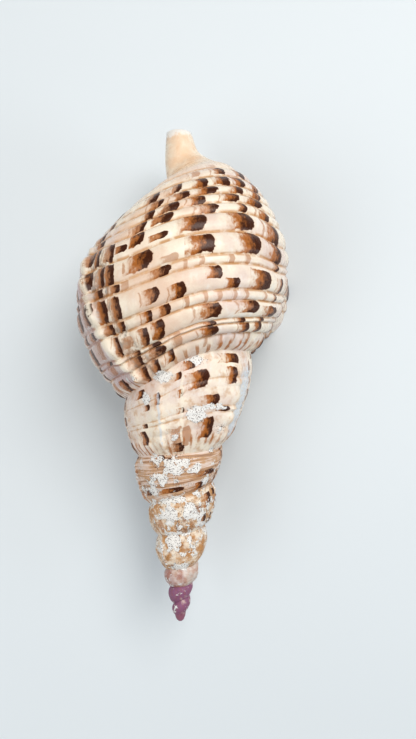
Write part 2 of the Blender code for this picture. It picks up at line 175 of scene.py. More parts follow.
# Columns across a row: how many to a place and the least between two grooves, for the last
# turn and for the turns of the spire in order
BODY_COLUMNS = (9.5, 4)
SPIRE_COLUMNS = ((8.5, 4), (5.2, 3), (3.6, 2), (2.6, 2), (2.0, 1), (1.4, 1), (1.2, 1))
CANAL_START = 11.5
CANAL_COLUMNS = 17
# Rings that close the canal: scale and rise in mm; the apex: scale and share of the way up
CANAL_RINGS = ((0.9, 0.35), (0.72, -0.2), (0.5, -1.4))
CANAL_TIP = -1.6 * MM
APEX_RINGS = ((0.88, 0.45), (0.62, 0.8), (0.3, 0.97))
APEX_INSET = 0.3 * MM

# Lip
LIP_FLARE = 20.0 * MM
FLARE_END = (4.5, 5.5)
RIM_END = (8.5, 4.0)
RIM_SHARES = (0.22, 0.5, 0.78, 1.0)
FAR_SWEEP = (0.6, 0.4)
LIP_FLARE_TURNS = 0.062
LIP_FLARE_POWER = 1.7
LIP_PLANE = 43.4 * MM
LIP_SWEEP_MOST = math.radians(36.0)
LIP_SWEEP_LEAST = math.radians(-4.0)
LIP_SWEEP_TURNS = 0.16
CANAL_SWEEP = math.radians(44.0)
CANAL_SWEEP_START = 8.5
CANAL_SWEEP_LENGTH = 4.5
REST_DEPTH = 43.9 * MM
REST_SOFTNESS = 0.15
REST_FLOOR = 44.0 * MM

# Hollow of the last turn and slit of the canal
WALL = 3.4 * MM
RIM = 2.0 * MM
RIM_LEAST = 0.6 * MM
RIM_ROUND = 0.9 * MM
CALLUS = 0.7 * MM
HOLLOW_ANGLES = ((70.0, 18.0, 6), (18.0, -14.0, 26), (-14.0, -190.0, 58))
HOLLOW_OUTER = (1.3, 12.1)
HOLLOW_INNER = (12.4, 7.2)
HOLLOW_OUTER_DENSITY = 8.5
HOLLOW_INNER_POINTS = 62
TOOTH_HEIGHT = 0.9 * MM
TOOTH_APART = 0.15
TOOTH_HALF = 0.075
TOOTH_REACH = 0.022
WRINKLE_HEIGHT = 0.35 * MM
WRINKLES_PER_PLACE = 2.2
HOLLOW_SPREAD = 0.45
HOLLOW_ENDS = (0.86, 0.6, 0.25)
HOLLOW_END_STEP = 8.7
SPREAD_END = (7.0, 2.5)
WRINKLE_END = (0.08, 0.12)
PALE_EDGE = 0.085
TOOTH_PLACE = 0.014
TOOTH_GLEAM = 1.3
PATCH_HALF = 0.26
SLIT_SECTIONS = ((214.0, 3.4, 0.5), (236.0, 3.0, 1.5), (262.0, 2.5, 2.0), (286.0, 2.5, 2.0))
SLIT_DEPTH = 34.0 * MM
SLIT_SHIFT = -0.2 * MM
SLIT_CORNER = (0.1, 12.0)
SLIT_FINISH = (0.6, 0.9, 0.0, 0.0)

# Marks on each cord of the side that shows: front edge and length in degrees round the
# axis, then the part of the cord that they cover (-1 to 1) and their strength
MARKS = (
    # frill under the suture
    ((-1, 5, -0.2, 1.0, 1.0), (20, 2, 0, 1, 0.5), (30, 2, 0, 1, 0.5), (40, 2, 0, 1, 0.5),
     (48, 2, 0, 1, 0.5), (54, 3, 0, 1, 0.6), (-12, 5, -1, 1, 0.8), (-22, 6, -1, 1, 0.8)),
    # the cords below it, down to the canal
    ((25, 10, -1, 1, 1.0), (46, 7, -1, 1, 1.0), (58, 7, -1, 1, 1.0), (4, 5, -1, 1, 0.5),
     (-6, 12, -1, 1, 0.8), (-22, 8, -1, 1, 0.7)),
    ((22, 7, -1, 1, 0.9), (41, 6, -1, 1, 0.9), (57, 6, -1, 1, 0.9), (3, 5, -1, 1, 0.4),
     (-8, 9, -1, 1, 0.7), (-22, 6, -1, 1, 0.7)),
    ((24, 11, -0.6, 1, 0.9), (47, 11, -0.4, 1, 0.9), (67, 15, -0.9, 0.6, 1.0),
     (-5, 8, -0.9, 1, 1.0), (-14, 6, -1, 0.8, 0.9), (-24, 7, -0.4, 0.6, 0.5)),
    ((16, 2.2, -1, 1, 0.5), (23, 2.2, -1, 1, 0.5), (31, 2.2, -1, 1, 0.45), (38, 2.4, -1, 1, 0.5),
     (7, 2.4, -1, 1, 0.6), (-2, 5, -1, 1, 0.9), (-11, 5, -1, 1, 1.0), (52, 2.4, -1, 1, 0.5),
     (62, 3, -1, 1, 0.7)),
    ((22, 6, -0.1, 0.9, 1.0), (32, 7, -0.9, -0.1, 1.0), (53, 12, -1, 0.7, 1.0),
     (67, 6, -1, 0.5, 1.0), (5, 6, -1, 0.2, 1.0), (-7, 7, -0.6, 0.5, 0.9)),
    ((6, 2, -1, 1, 0.45), (14, 2.4, -1, 1, 0.5), (29, 3, -1, 1, 0.55), (38, 3, -1, 1, 0.55),
     (61, 5, -1, 1, 0.8), (-1, 9, -1, 1, 0.8), (-22, 5, -1, 1, 0.4)),
    ((19, 12, -0.9, 0.85, 1.0), (45, 12, -1, 1, 1.0), (63, 12, -1, 0.9, 1.0),
     (-10, 12, -0.7, 0.9, 1.0), (2, 7, -0.9, -0.3, 0.5)),
    ((16, 12, -0.8, 1, 1.0), (42, 12, -0.9, 1, 1.0), (63, 11, -1, 0.9, 1.0),
     (-3, 9, -0.7, -0.1, 0.9), (-15, 8, -0.5, 0.9, 1.0), (-24, 7, -0.5, 0.2, 0.9)),
    ((23, 10, -1, 1, 0.8), (41, 5, -1, 1, 0.9), (59, 9, -1, 1, 1.0), (-1, 11, -1, 1, 0.9),
     (-15, 8, -1, 1, 0.8)),
    ((17, 9, -1, 1, 1.0), (38, 10, -1, 1, 1.0), (56, 12, -1, 1, 1.0), (2, 10, -1, 1, 0.8),
     (-12, 6, -1, 1, 0.8)),
    ((26, 12, -1, 1, 1.0), (45, 9, -1, 1, 1.0), (60, 10, -1, 1, 1.0), (8, 10, -1, 1, 0.8),
     (-8, 8, -1, 1, 0.8)),
    ((22, 9, -1, 0.9, 1.0), (39, 11, -1, 0.9, 1.0), (51, 10, -0.9, 1, 1.0), (4, 10, -1, 1, 0.7),
     (66, 9, -1, 1, 0.9), (-12, 9, -1, 1, 0.7)),
    ((41, 10, -0.8, 0.6, 0.9), (19, 8, -0.8, 0.4, 0.5), (62, 9, -0.8, 0.6, 0.8)),
    ((40, 8, -1, -0.5, 0.3),),
)
# Marks of the turn before the last and the next, where they show: lowest and highest place,
# front edge and length in degrees counted on from the last turn, strength
SPIRE_MARKS = (
    (4.0, 5.1, -335, 13, 1.0), (4.0, 5.0, -311, 7, 1.0), (5.2, 5.8, -307, 14, 1.0),
    (2.8, 3.5, -324, 13, 0.95), (2.4, 2.75, -313, 12, 0.8), (0.9, 2.2, -325, 12, 1.0),
    (3.9, 4.8, -374, 4, 1.0), (4.9, 5.4, -356, 5, 0.9), (3.7, 4.3, -355, 3.5, 1.0),
    (2.7, 3.1, -354, 4.5, 0.9), (3.7, 4.2, -384, 6, 0.8), (2.3, 2.7, -389, 7, 0.7),
    (0.9, 2.1, -392, 9, 0.8), (4.9, 5.7, -391, 9, 1.0), (0.5, 1.9, -345, 20, 0.62),
    (5.3, 5.95, -345, 9, 0.9), (2.1, 2.8, -336, 7, 0.5), (0.2, 0.9, -352, 14, 0.8),
    (5.2, 6.0, -737, 12, 1.0), (5.0, 5.6, -728, 7, 0.9), (0.9, 1.6, -712, 34, 0.9),
    (0.4, 1.6, -678, 16, 1.0), (1.0, 1.7, -762, 20, 0.8), (2.4, 3.2, -664, 26, 0.7),
    (3.4, 5.4, -1018, 16, 0.8), (0.6, 2.6, -1024, 14, 0.8), (0.5, 3.0, -1110, 22, 0.8),
)
SPIRE_SHOWN = ((-425.0, -292.0), (-790.0, -655.0), (-1120.0, -1010.0))
# Patches of chalky crust on top: middle and half size along X and Y, mm, and strength
CRUST_SPOTS = (
    (-12.4, -3.0, 4.8, 3.0, 0.85), (4.1, 5.0, 5.8, 2.6, 0.85), (4.1, -22.1, 4.3, 4.3, 0.9),
    (15.3, -18.4, 5.3, 2.2, 0.85), (-7.6, -33.3, 3.2, 3.2, 0.75), (-8.6, -48.7, 9.5, 5.3, 1.0),
    (-16.6, -57.8, 5.8, 5.3, 1.0), (2.5, -50.3, 4.3, 5.3, 0.65), (12.6, -42.4, 2.2, 2.5, 0.8),
    (-6.1, -73.4, 11.5, 6.6, 1.0), (-2.2, -85.0, 4.2, 4.4, 0.9), (-7.7, -92.1, 5.8, 3.9, 0.9),
    (6.1, -82.8, 3.6, 2.0, 0.8), (-5.0, -105.4, 9.6, 2.8, 0.8), (-9.4, -118.7, 1.5, 2.0, 0.7),
    (-29.0, -4.0, 4.0, 2.0, 0.6), (17.0, -30.0, 4.0, 3.0, 0.55), (-22.0, -14.0, 3.0, 5.0, 0.55),
)
CRUST_GRAIN = 260.0
CRUST_SPOT_MOST = 1.15
CRUST_SPOT_LOWEST = 48.0
CRUST_BODY_HIGHEST = 60.0
CRUST_LEAST = 0.03
# Even crust: Y in mm from which it grows, length over which it does, and its most, for the
# spire, for how much less there is near the apex, and for the last turn
CRUST_EVEN = ((-38.0, 20.0, 0.24), (-95.0, 15.0, 0.5), (4.0, 10.0, 0.1))
MARK_SPACING = (17.0, 25.0)
MARK_LENGTH = (7.0, 12.0)
MARK_SIDE = (-34.0, 74.0)
MARK_FIRST = 128.0
MARK_LAST = -250.0
# A mark's distances are stored as shares: value plus shift, over span
BEHIND_SHIFT = 1.0
BEHIND_SPAN = 3.0
OVER_SHIFT = 2.0
OVER_SPAN = 4.0
MARK_SEED = 31
FRILL_BEADS = 46
FRILL_SLANT = -1.4
GROWTH_WAVES = ((41.0, 2.0, 7.0), (67.0, 3.0, 11.0))

# Finish: turns back from the lip, and below them places, at which each change starts and is full
SECOND_TURN = (0.9, 1.0)
GRIME_TURNS = (0.9, 1.1)
STRIP_TURNS = (1.24, 1.27)
STRIP_END = (1.32, 1.34)
OLD_TURNS = (1.65, 2.05)
FRILL_TURNS = (1.8, 2.1)
WARM_TURNS = (0.22, 0.34)
WARM_END = (0.39, 0.42)
ORANGE_TURNS = (2.75, 3.1)
FADED_MARKS = (3.25, 3.6)
LILAC_TURNS = (4.75, 5.1)
FIRST_TURNS = (5.6, 6.0)
FRILL_PLACES = (1.0, 1.3)
CANAL_PLACES = (11.0, 12.8)
TIP_PLACES = (14.85, 15.15)
# Bluish grey painted shade and painted sheen along the ridges of the older turns
PAINTED_BLUE_SHADE_AND_SHEEN = (0.60, 0.64, 0.67)
SMOOTH_ANGLE = math.radians(62.0)

# Stage: name, place and size in metres, share of its power setting, tint
MAIN_LIGHT = ("main_light", (0.45, 0.55, 1.15), 0.9, 1.0, (1.0, 0.99, 0.97))
FILL_LIGHT = ("fill_light", (-0.7, -0.35, 0.9), 0.8, 1.0, (0.93, 0.97, 1.0))
SIDE_LIGHT = ("side_light", (0.9, -0.15, 0.35), 0.35, 0.35, (0.8, 0.9, 1.0))
LIGHT_AIM = Vector((0.0, 0.0, 0.04))
SKY = (0.93, 0.96, 1.0, 1.0)
SKY_STRENGTH = 0.3
FLOOR_SIZE = 8.0
SENSOR = 36.0


class ShellSizes(bpy.types.PropertyGroup):
    """Sizes of the shell's own relief."""

    cord_crown: bpy.props.FloatProperty(
        name="Cord crown", description="How far a spiral cord stands up in its middle",
        default=0.75 * MM, min=0.0, max=2.0 * MM, unit="LENGTH", precision=5)
    groove_width: bpy.props.FloatProperty(
        name="Groove width", description="Half width of the groove between two cords, in places",
        default=0.12, min=0.04, max=0.3)
    frill_height: bpy.props.FloatProperty(
        name="Frill height", description="Height of the beaded frill under the suture",
        default=2.1 * MM, min=0.0, max=4.0 * MM, unit="LENGTH", precision=5)
    growth_height: bpy.props.FloatProperty(
        name="Growth lines", description="Height of the lines across the cords",
        default=0.16 * MM, min=0.0, max=1.0 * MM, unit="LENGTH", precision=5)
    crust_height: bpy.props.FloatProperty(
        name="Crust", description="Thickness of the chalky crust on the old turns",
        default=0.55 * MM, min=0.0, max=1.5 * MM, unit="LENGTH", precision=5)


def colour(name, description, default):
    """Colour property with its usual settings."""
    return bpy.props.FloatVectorProperty(
        name=name, description=description, default=default, size=3, min=0.0, max=1.0,
        subtype="COLOR")


class ShellColours(bpy.types.PropertyGroup):
    """Colours of the shell."""

    cream: colour("Cream", "Ground of the last turn", (0.83, 0.73, 0.59))
    blush: colour("Blush", "Pinkish parts of the ground", (0.71, 0.575, 0.50))
    dark: colour("Dark mark", "Core of the marks", (0.055, 0.014, 0.004))
    rust: colour("Rust fringe", "Fading side of the marks", (0.38, 0.125, 0.018))
    groove: colour("Groove", "Tan line between cords", (0.50, 0.25, 0.09))
    canal: colour("Canal", "Peach tan of the canal", (0.74, 0.50, 0.32))
    spire: colour("Old turn", "Tan brown of the worn turns", (0.30, 0.155, 0.085))
    apex: colour("Apex", "Mauve of the first turns", (0.26, 0.11, 0.19))
    chalk: colour("Chalk", "White crust and worn edges", (0.82, 0.80, 0.76))
    lining: colour("Lining", "Orange inside of the aperture", (0.72, 0.30, 0.10))


class StageSettings(bpy.types.PropertyGroup):
    """Camera over the shell, and light."""

    camera_place: bpy.props.FloatVectorProperty(
        name="Camera place", description="Where the camera stands",
        default=(0.0105, -0.0128, 0.364), size=3, subtype="XYZ", unit="LENGTH")
    tilt: bpy.props.FloatProperty(
        name="Tilt", description="How far the camera leans from straight down to the canal",
        default=math.radians(2.68), min=-1.5, max=1.5, subtype="ANGLE")
    lens: bpy.props.FloatProperty(
        name="Lens", description="Focal length for a 36 mm long side", default=27.3, min=10.0,
        max=120.0)
    key_power: bpy.props.FloatProperty(
        name="Main light", description="Power of the large soft light, W", default=12.0, min=0.0)
    fill_power: bpy.props.FloatProperty(
        name="Fill light", description="Power of the light from the other side, W", default=5.0,
        min=0.0)
    floor_colour: colour("Floor", "Plain pale floor", (0.66, 0.69, 0.70))


# Shape of the turns

def ease(x):
    """Smooth step from 0 to 1."""
    x = np.clip(x, 0.0, 1.0)
    return x * x * (3.0 - 2.0 * x)


def ramp(x, start, length):
    """Smooth step from 0 at the start to 1 a length further on."""
    return ease((x - start) / length)


def degrees_at(turns):
    """Angle round the axis, in degrees, of a number of turns back from the lip."""
    return LIP_DEGREES - 360.0 * turns


class Curve:
    """Cubic through given points that keeps their rise and fall."""

    def __init__(self, xs, ys):
        self.xs = np.array(xs, float)
        self.ys = np.array(ys, float)
        step = np.diff(self.xs)
        slope = np.diff(self.ys) / step
        self.slopes = np.zeros(len(self.xs))
        self.slopes[0] = slope[0]
        self.slopes[-1] = slope[-1]
        for i in range(1, len(self.xs) - 1):
            if slope[i - 1] * slope[i] > 0.0:
                before = 2.0 * step[i] + step[i - 1]
                after = step[i] + 2.0 * step[i - 1]
                self.slopes[i] = (before + after) / (before / slope[i - 1] + after / slope[i])

    def at(self, x):
        """Values of the curve, held at the ends."""
        x = np.clip(x, self.xs[0], self.xs[-1])
        i = np.clip(np.searchsorted(self.xs, x, side="right") - 1, 0, len(self.xs) - 2)
        width = self.xs[i + 1] - self.xs[i]
        s = (x - self.xs[i]) / width
        return (
            self.ys[i] * (1.0 + 2.0 * s) * (1.0 - s) ** 2
            + self.slopes[i] * width * s * (1.0 - s) ** 2
            + self.ys[i + 1] * s * s * (3.0 - 2.0 * s)
            + self.slopes[i + 1] * width * s * s * (s - 1.0)
        )


def both(points, scale=MM):
    """Two curves from rows of a key and two values."""
    keys = [p[0] for p in points]
    return Curve(keys, [p[1] * scale for p in points]), Curve(keys, [p[2] * scale for p in points])


SUTURE_CURVES = both(SUTURE)
BULGE = Curve([p[0] for p in SPIRE_BULGE], [p[1] for p in SPIRE_BULGE])
PROFILES = [both([(i, p[0], p[1]) for i, p in enumerate(profile)])
            for profile in (PROFILE_RIGHT, PROFILE_LEFT, PROFILE_INNER)]


def suture(turns):
    """Height and radius of the suture."""
    return np.stack([curve.at(turns) for curve in SUTURE_CURVES])


def body_outline(turns, place):
    """Height and radius of the last turn between its three given outlines."""
    turns, place = np.broadcast_arrays(turns, place)
    right, left, inner = [np.stack([curve.at(place) for curve in pair]) for pair in PROFILES]
    first, second, third = PROFILE_TURNS
    near = turns < second
    share = np.where(near, (turns - first) / (second - first), (turns - second) / (third - second))
    share = np.maximum(share, -0.2)
    eased = np.where((share >= 0.0) & (share <= 1.0), ease(share), share)
    base = ramp(place, 5.0, 4.0)
    share = np.minimum(share * (1.0 - base) + eased * base, 1.8)
    start = np.where(near, right, left)
    return start + (np.where(near, left, inner) - start) * share


def last_turn(turns, place):
    """Outline of the last turn drawn onto the suture."""
    pull = np.maximum(1.0 - place / 5.0, 0.0) ** 1.6
    return body_outline(turns, place) + (suture(turns) - body_outline(turns, 0.0)) * pull


JOIN_SHIFT = suture(LIP_TURN) - last_turn(SPIRE_START, SUTURE_PLACE)


def joined(turns):
    """How far the last turn has come to meet the spire, from 0 to 1."""
    return ramp(turns - 0.7, LIP_TURN, 0.3)


def spire_turn(turns, place):
    """Outline of a turn of the spire between two sutures."""
    low = suture(turns)
    shift = np.stack([JOIN_SHIFT[0] * joined(turns), JOIN_SHIFT[1] * joined(turns)])
    high = np.where(turns >= SPIRE_START, suture(turns - 1.0),
                    last_turn(turns, SUTURE_PLACE) + shift)
    share = np.minimum(place / SUTURE_PLACE, 1.0)
    point = low + (high - low) * share
    full = 1.0 - np.abs(2.0 * share - 1.0) ** SPIRE_BULGE_POWER
    point[1] += BULGE.at(turns) * (high[0] - low[0]) * full
    return point


def outline(turns, place):
    """Height and radius of the plain outside, without cords or ridges."""
    turns, place = np.broadcast_arrays(np.asarray(turns, float), np.asarray(place, float))
    near = np.minimum(place, SUTURE_PLACE)
    fade = np.maximum(1.0 - (place - near) / 3.0, 0.0) ** 1.5
    last = last_turn(turns, place)
    shift = spire_turn(turns, near) - last_turn(turns, near)
    mixed = last + shift * joined(turns) * fade
    spire = (turns >= SPIRE_START) & (place <= SUTURE_PLACE)
    return np.where(spire, spire_turn(turns, near), mixed)


def normal_of(shape, turns, place, reach, last=LAST_PLACE):
    """Outward direction of an outline, from its points on both sides of a place."""
    along = shape(turns, np.minimum(place + reach, last))
    along = along - shape(turns, np.maximum(place - reach, 0.0))
    return np.stack([-along[1], along[0]]) / np.hypot(along[0], along[1])


def outline_normal(turns, place):
    """Outward direction of the plain outside in the half plane."""
    return normal_of(outline, turns, place, 0.2)


def flare(turns, place):
    """How far the lip turns outward from the plain outside."""
    near = np.maximum(1.0 - (turns - LIP_TURN) / LIP_FLARE_TURNS, 0.0)
    near = np.minimum(near, 1.0) ** LIP_FLARE_POWER
    along = 0.4 * ease(place / 0.7) + 0.6 * ease(place / 4.0)
    return LIP_FLARE * near * along * (1.0 - ramp(place, *FLARE_END))


def lip_sweep_at(place):
    """Extra angle that brings the lip edge down to the plane of rest."""
    point = outline(LIP_TURN, place) + outline_normal(LIP_TURN, place) * flare(LIP_TURN, place)
    lip = LIP_ANGLE - TURN * LIP_TURN
    if place > 10.0:
        return LIP_SWEEP_MOST
    extra = LIP_SWEEP_MOST
    if point[1] * math.cos(lip + LIP_SWEEP_MOST) <= -LIP_PLANE:
        extra = math.acos(-LIP_PLANE / point[1]) - lip
    extra = min(max(extra, LIP_SWEEP_LEAST), LIP_SWEEP_MOST)
    return extra * float(ramp(place, 1.0, 2.0))


LIP_SWEEP = Curve(range(16), [lip_sweep_at(float(p)) for p in range(16)])


def sweep(turns, place):
    """Extra angle that carries the end of the lip round to the canal slit."""
    near_lip = LIP_SWEEP.at(place) * (1.0 - ramp(turns, LIP_TURN, LIP_SWEEP_TURNS))
    far_side = CANAL_SWEEP * ramp(turns, *FAR_SWEEP)
    return near_lip + far_side * ramp(place, CANAL_SWEEP_START, CANAL_SWEEP_LENGTH)


def in_space(height, radius, angle, lift=0.0):
    """Points in space: coiling axis along Y, the worn underside pressed to the floor."""
    z = radius * np.cos(angle)
    pressed = np.maximum(-REST_DEPTH + (z + REST_DEPTH) * REST_SOFTNESS, -REST_FLOOR + lift)
    z = np.where(z < -REST_DEPTH, pressed, z)
    points = np.stack([radius * np.sin(angle), height - SHELL_LENGTH / 2.0, z], axis=-1)
    return points + np.array(SETTLE)


def drifted(turns, cord_place):
    """Place on the outline of a place measured on the wandering cords."""
    shoulder = np.interp(turns, *zip(*DRIFT_SHOULDER))
    middle = np.interp(turns, *zip(*DRIFT_MIDDLE))
    one, two, three, four = DRIFT_PLACES
    rise = np.clip((cord_place - one) / (two - one), 0.0, 1.0)
    swap = np.clip((cord_place - two) / (three - two), 0.0, 1.0)
    fall = np.clip((four - cord_place) / (four - three), 0.0, 1.0)
    return cord_place + (shoulder * rise * (1.0 - swap) + middle * swap) * fall


# Relief of the outside

def cord_share(place):
    """Number of the cord at a place and the share of the way across it."""
    edges = np.array(CORD_EDGES)
    cord = np.clip(np.searchsorted(edges, place, side="right") - 1, 0, len(edges) - 2)
    return cord, np.clip((place - edges[cord]) / (edges[cord + 1] - edges[cord]), 0.0, 1.0)


def groove_near(turns, place, width):
    """Depth of the grooves at a place, and how near the closest is, from 0 to 1."""
    depth = np.zeros_like(place)
    near = np.zeros_like(place)
    second = ramp(turns, *SECOND_RELIEF)
    old = ramp(turns, *OLD_RELIEF)
    for i in range(1, len(CORD_EDGES) - 1):
        close = np.exp(-((place - CORD_EDGES[i]) / width) ** 2)
        share = 1.0 + (SECOND_TURN_GROOVES[i] - 1.0) * second * (place <= SUTURE_PLACE)
        share = share * (1.0 - old) + OLD_GROOVES * old
        depth += GROOVE_DEPTHS[i] * MM * close * share
        near = np.maximum(near, close * share)
    return depth, near


def varix_near(turns, place):
    """Height of the former lips, how near the line along their edge is (worn cream, or painted shade
    and sheen from the second turn on), and which side of the first, whose back gets painted shade.
    """
    height = np.zeros_like(turns)
    edge = np.zeros_like(turns)
    side = np.full_like(turns, 0.5)
    _, across = cord_share(place)
    teeth = 0.5 - 0.5 * np.cos(TURN * across)
    for centre, most, width, ahead, strength in VARICES:
        lean = VARIX_LEAN * (place / SUTURE_PLACE) if centre < 1.0 else 0.0
        away = turns - (centre + lean) + VARIX_SCALLOP * teeth * (centre < 2.0)
        front = 1.0 - np.clip(-away / VARIX_FRONT, 0.0, 1.0)
        share = np.where(away < 0.0, front, 1.0 - ease(away / VARIX_BACK))
        fade = ease(place / 1.2) * (1.0 - ramp(place, *VARIX_END))
        fade = np.where(turns >= SPIRE_START, fade * ease((SUTURE_PLACE - place) / 1.6), fade)
        height += most * MM * share * fade * (0.75 + 0.45 * teeth)
        edge = np.maximum(edge, strength * np.exp(-((away + ahead) / width) ** 2) * fade)
        if centre < 1.0:
            foot = ramp(-away, *FOOT_START) * (1.0 - ramp(-away, *FOOT_END))
            # behind the ridge, where painted shade goes
            back = ramp(away, *PAINTED_SHADE_START) * (1.0 - ramp(away, *PAINTED_SHADE_END))
            side = side + 0.5 * (foot - back) * fade
    return height, edge, side


def relief(turns, cord_place, sizes):
    """Height of cords, grooves, frill, ridges and growth lines over the plain outside."""
    size = np.minimum(outline(turns, np.minimum(cord_place, 3.0))[1] / FULL_RADIUS, 1.0)
    depth, _ = groove_near(turns, cord_place, sizes.groove_width)
    cord, across = cord_share(cord_place)
    crown = 1.0 - np.abs(2.0 * across - 1.0) ** 3.0
    wide = np.diff(CORD_EDGES)[cord] > BROAD_CORD
    value = sizes.cord_crown * crown * np.where(wide, 1.0, NARROW_CROWN)
    value = value * (1.0 - 0.8 * ramp(turns, *SECOND_RELIEF)) - depth
    # fine threads along the broad cords
    value += THREAD_HEIGHT * np.cos(2.0 * TURN * across) * wide * (cord_place > 1.6)
    # beaded frill under the suture
    frill = np.sin(math.pi * np.clip(cord_place / CORD_EDGES[1], 0.0, 1.0)) ** 1.3
    beads = 0.5 + 0.5 * np.sin(TURN * FRILL_BEADS * turns + FRILL_SLANT * cord_place)
    slow = 0.8 + 0.3 * np.sin(TURN * 13.0 * turns + 2.0 * np.sin(TURN * 5.0 * turns))
    worn = 1.0 - 0.75 * ramp(turns, *FRILL_WORN)
    value += sizes.frill_height * frill * (0.3 + 0.95 * beads) * slow * worn
    # growth lines
    broad, fine = [TURN * count * turns + bend * np.sin(TURN * slow_count * turns)
                   for count, bend, slow_count in GROWTH_WAVES]
    lines = np.sin(broad + 0.5 * cord_place) + 0.7 * np.sin(fine)
    value += sizes.growth_height * lines * 0.5
    spire = turns >= SPIRE_START
    bound = np.sin(math.pi * np.clip(cord_place / SUTURE_PLACE, 0.0, 1.0))
    value *= np.where(spire, np.maximum(bound, 0.0) ** 0.3, 1.0)
    value *= np.clip(size, 0.12, 1.0)
    value *= 1.0 - 0.85 * ramp(cord_place, *CANAL_RELIEF)
    return value + varix_near(turns, cord_place)[0]


def outside(turns, cord_place, sizes):
    """Points of the finished outside."""
    place = drifted(turns, cord_place)
    height = relief(turns, cord_place, sizes) + flare(turns, place)
    point = outline(turns, place) + outline_normal(turns, place) * height
    angle = LIP_ANGLE - TURN * turns + sweep(turns, place)
    return in_space(point[0], np.maximum(point[1], LEAST_RADIUS), angle)


# Sheet of the turns

def columns(low, high, per_place, least):
    """Places across a turn, closer together at the grooves."""
    places = []
    for start, end in zip(CORD_EDGES[:-1], CORD_EDGES[1:]):
        start, end = max(start, low), min(end, high)
        if end - start < 0.02:
            continue
        count = max(least, round((end - start) * per_place))
        for k in range(count):
            places.append(start + (end - start) * (0.5 - 0.5 * math.cos(math.pi * k / count)))
    return places + [high]


def row_kind(row):
    """Which columns a row has: fine on the last turn, plainer towards the apex."""
    return min(row // ROWS, 7)


def column_sets():
    """The columns of every kind of row."""
    canal = list(np.linspace(CANAL_START, LAST_PLACE, CANAL_COLUMNS))
    sets = [columns(0.0, CANAL_START, *BODY_COLUMNS)[:-1] + canal]
    sets += [columns(0.0, SUTURE_PLACE, *kind) for kind in SPIRE_COLUMNS]
    return [np.array(s) for s in sets]


class Sheet:
    """Points, faces, turns and place of every face corner, and which faces are lining."""

    def __init__(self):
        self.points = []
        self.faces = []
        self.corners = []
        self.inside = []

    def add(self, face, corners, inside=0):
        """One face; a corner that repeats is left out."""
        kept = [i for i in range(len(face)) if face[i] not in face[:i]]
        if len(kept) > 2:
            self.faces.append([face[i] for i in kept])
            self.corners.append([corners[i] for i in kept])
            self.inside.append(inside)

    def zip(self, left, right, inside=0):
        """Fill between two rows of (share, vertex, corner) with triangles."""
        i = j = 0
        while i < len(left) - 1 or j < len(right) - 1:
            step_left = j == len(right) - 1 or (
                i < len(left) - 1 and left[i + 1][0] <= right[j + 1][0])
            if step_left:
                three = (left[i], left[i + 1], right[j])
                i += 1
            else:
                three = (left[i], right[j + 1], right[j])
                j += 1
            self.add([c[1] for c in three], [c[2] for c in three], inside)


def lay_turns(sizes):
    """The sheet of all turns with the lip face, the canal end and the apex closed."""
    sheet = Sheet()
    sets = column_sets()
    count = int(APEX_TURNS * ROWS)
    rows = []
    total = 0
    for row in range(count + 1):
        places = sets[row_kind(row)]
        if row == ROWS:
            places = np.concatenate([sets[1], sets[0][sets[0] > SUTURE_PLACE + 0.001]])
        turns = LIP_TURN + row / ROWS
        points = outside(np.full(len(places), turns), places, sizes)
        points = roughened(points, turns, places, sizes)
        welded = row >= ROWS
        cells = []
        for k, place in enumerate(places):
            if welded and abs(place - SUTURE_PLACE) < 1e-6:
                cells.append((place, rows[row - ROWS][0][1], (turns, place)))
            else:
                sheet.points.append(points[k])
                cells.append((place, total, (turns, place)))
                total += 1
        rows.append(cells)
    for row in range(count):
        here, after = rows[row], rows[row + 1]
        if row == ROWS:
            here = [c for c in here if c[0] <= SUTURE_PLACE + 1e-6]
        same = len(here) == len(after) and row_kind(row) == row_kind(row + 1)
        if same:
            for a, b, c, d in zip(here[:-1], here[1:], after[1:], after[:-1]):
                sheet.add([a[1], b[1], c[1], d[1]], [a[2], b[2], c[2], d[2]])
        else:
            sheet.zip(here, after)
    ends = close_lip(sheet, rows, total)
    close_canal(sheet, rows, ends)
    close_apex(sheet, rows, count)
    return sheet


def roughened(points, turns, places, sizes):
    """Lumps of crust on the spire, and dull unevenness from its second turn on."""
    if turns < SPIRE_START:
        return points
    centre = np.array((SETTLE[0], 0.0, SETTLE[2]))
    weights = crust_weight(points)
    for k, place in enumerate(places):
        if place < 0.05 or place > SUTURE_PLACE - 0.05:
            continue
        out = points[k] - centre
        out[1] = 0.0
        out /= max(np.linalg.norm(out), 1e-6)
        where = Vector(points[k]) * ROUGH_GRAIN
        lump = noise.fractal(where, 0.7, 2.1, 3)
        size = min(max((6.2 - turns) / 2.0, 0.15), 1.0)
        edge = min(place, SUTURE_PLACE - place, 1.0)
        cover = max(lump * 0.5 + weights[k] - 0.3, 0.0)
        broad = noise.noise(where * 0.35) * max(min(turns - 1.6, 1.0), 0.0) * 0.8
        points[k] = points[k] + out * sizes.crust_height * (cover + broad) * size * edge
    return points


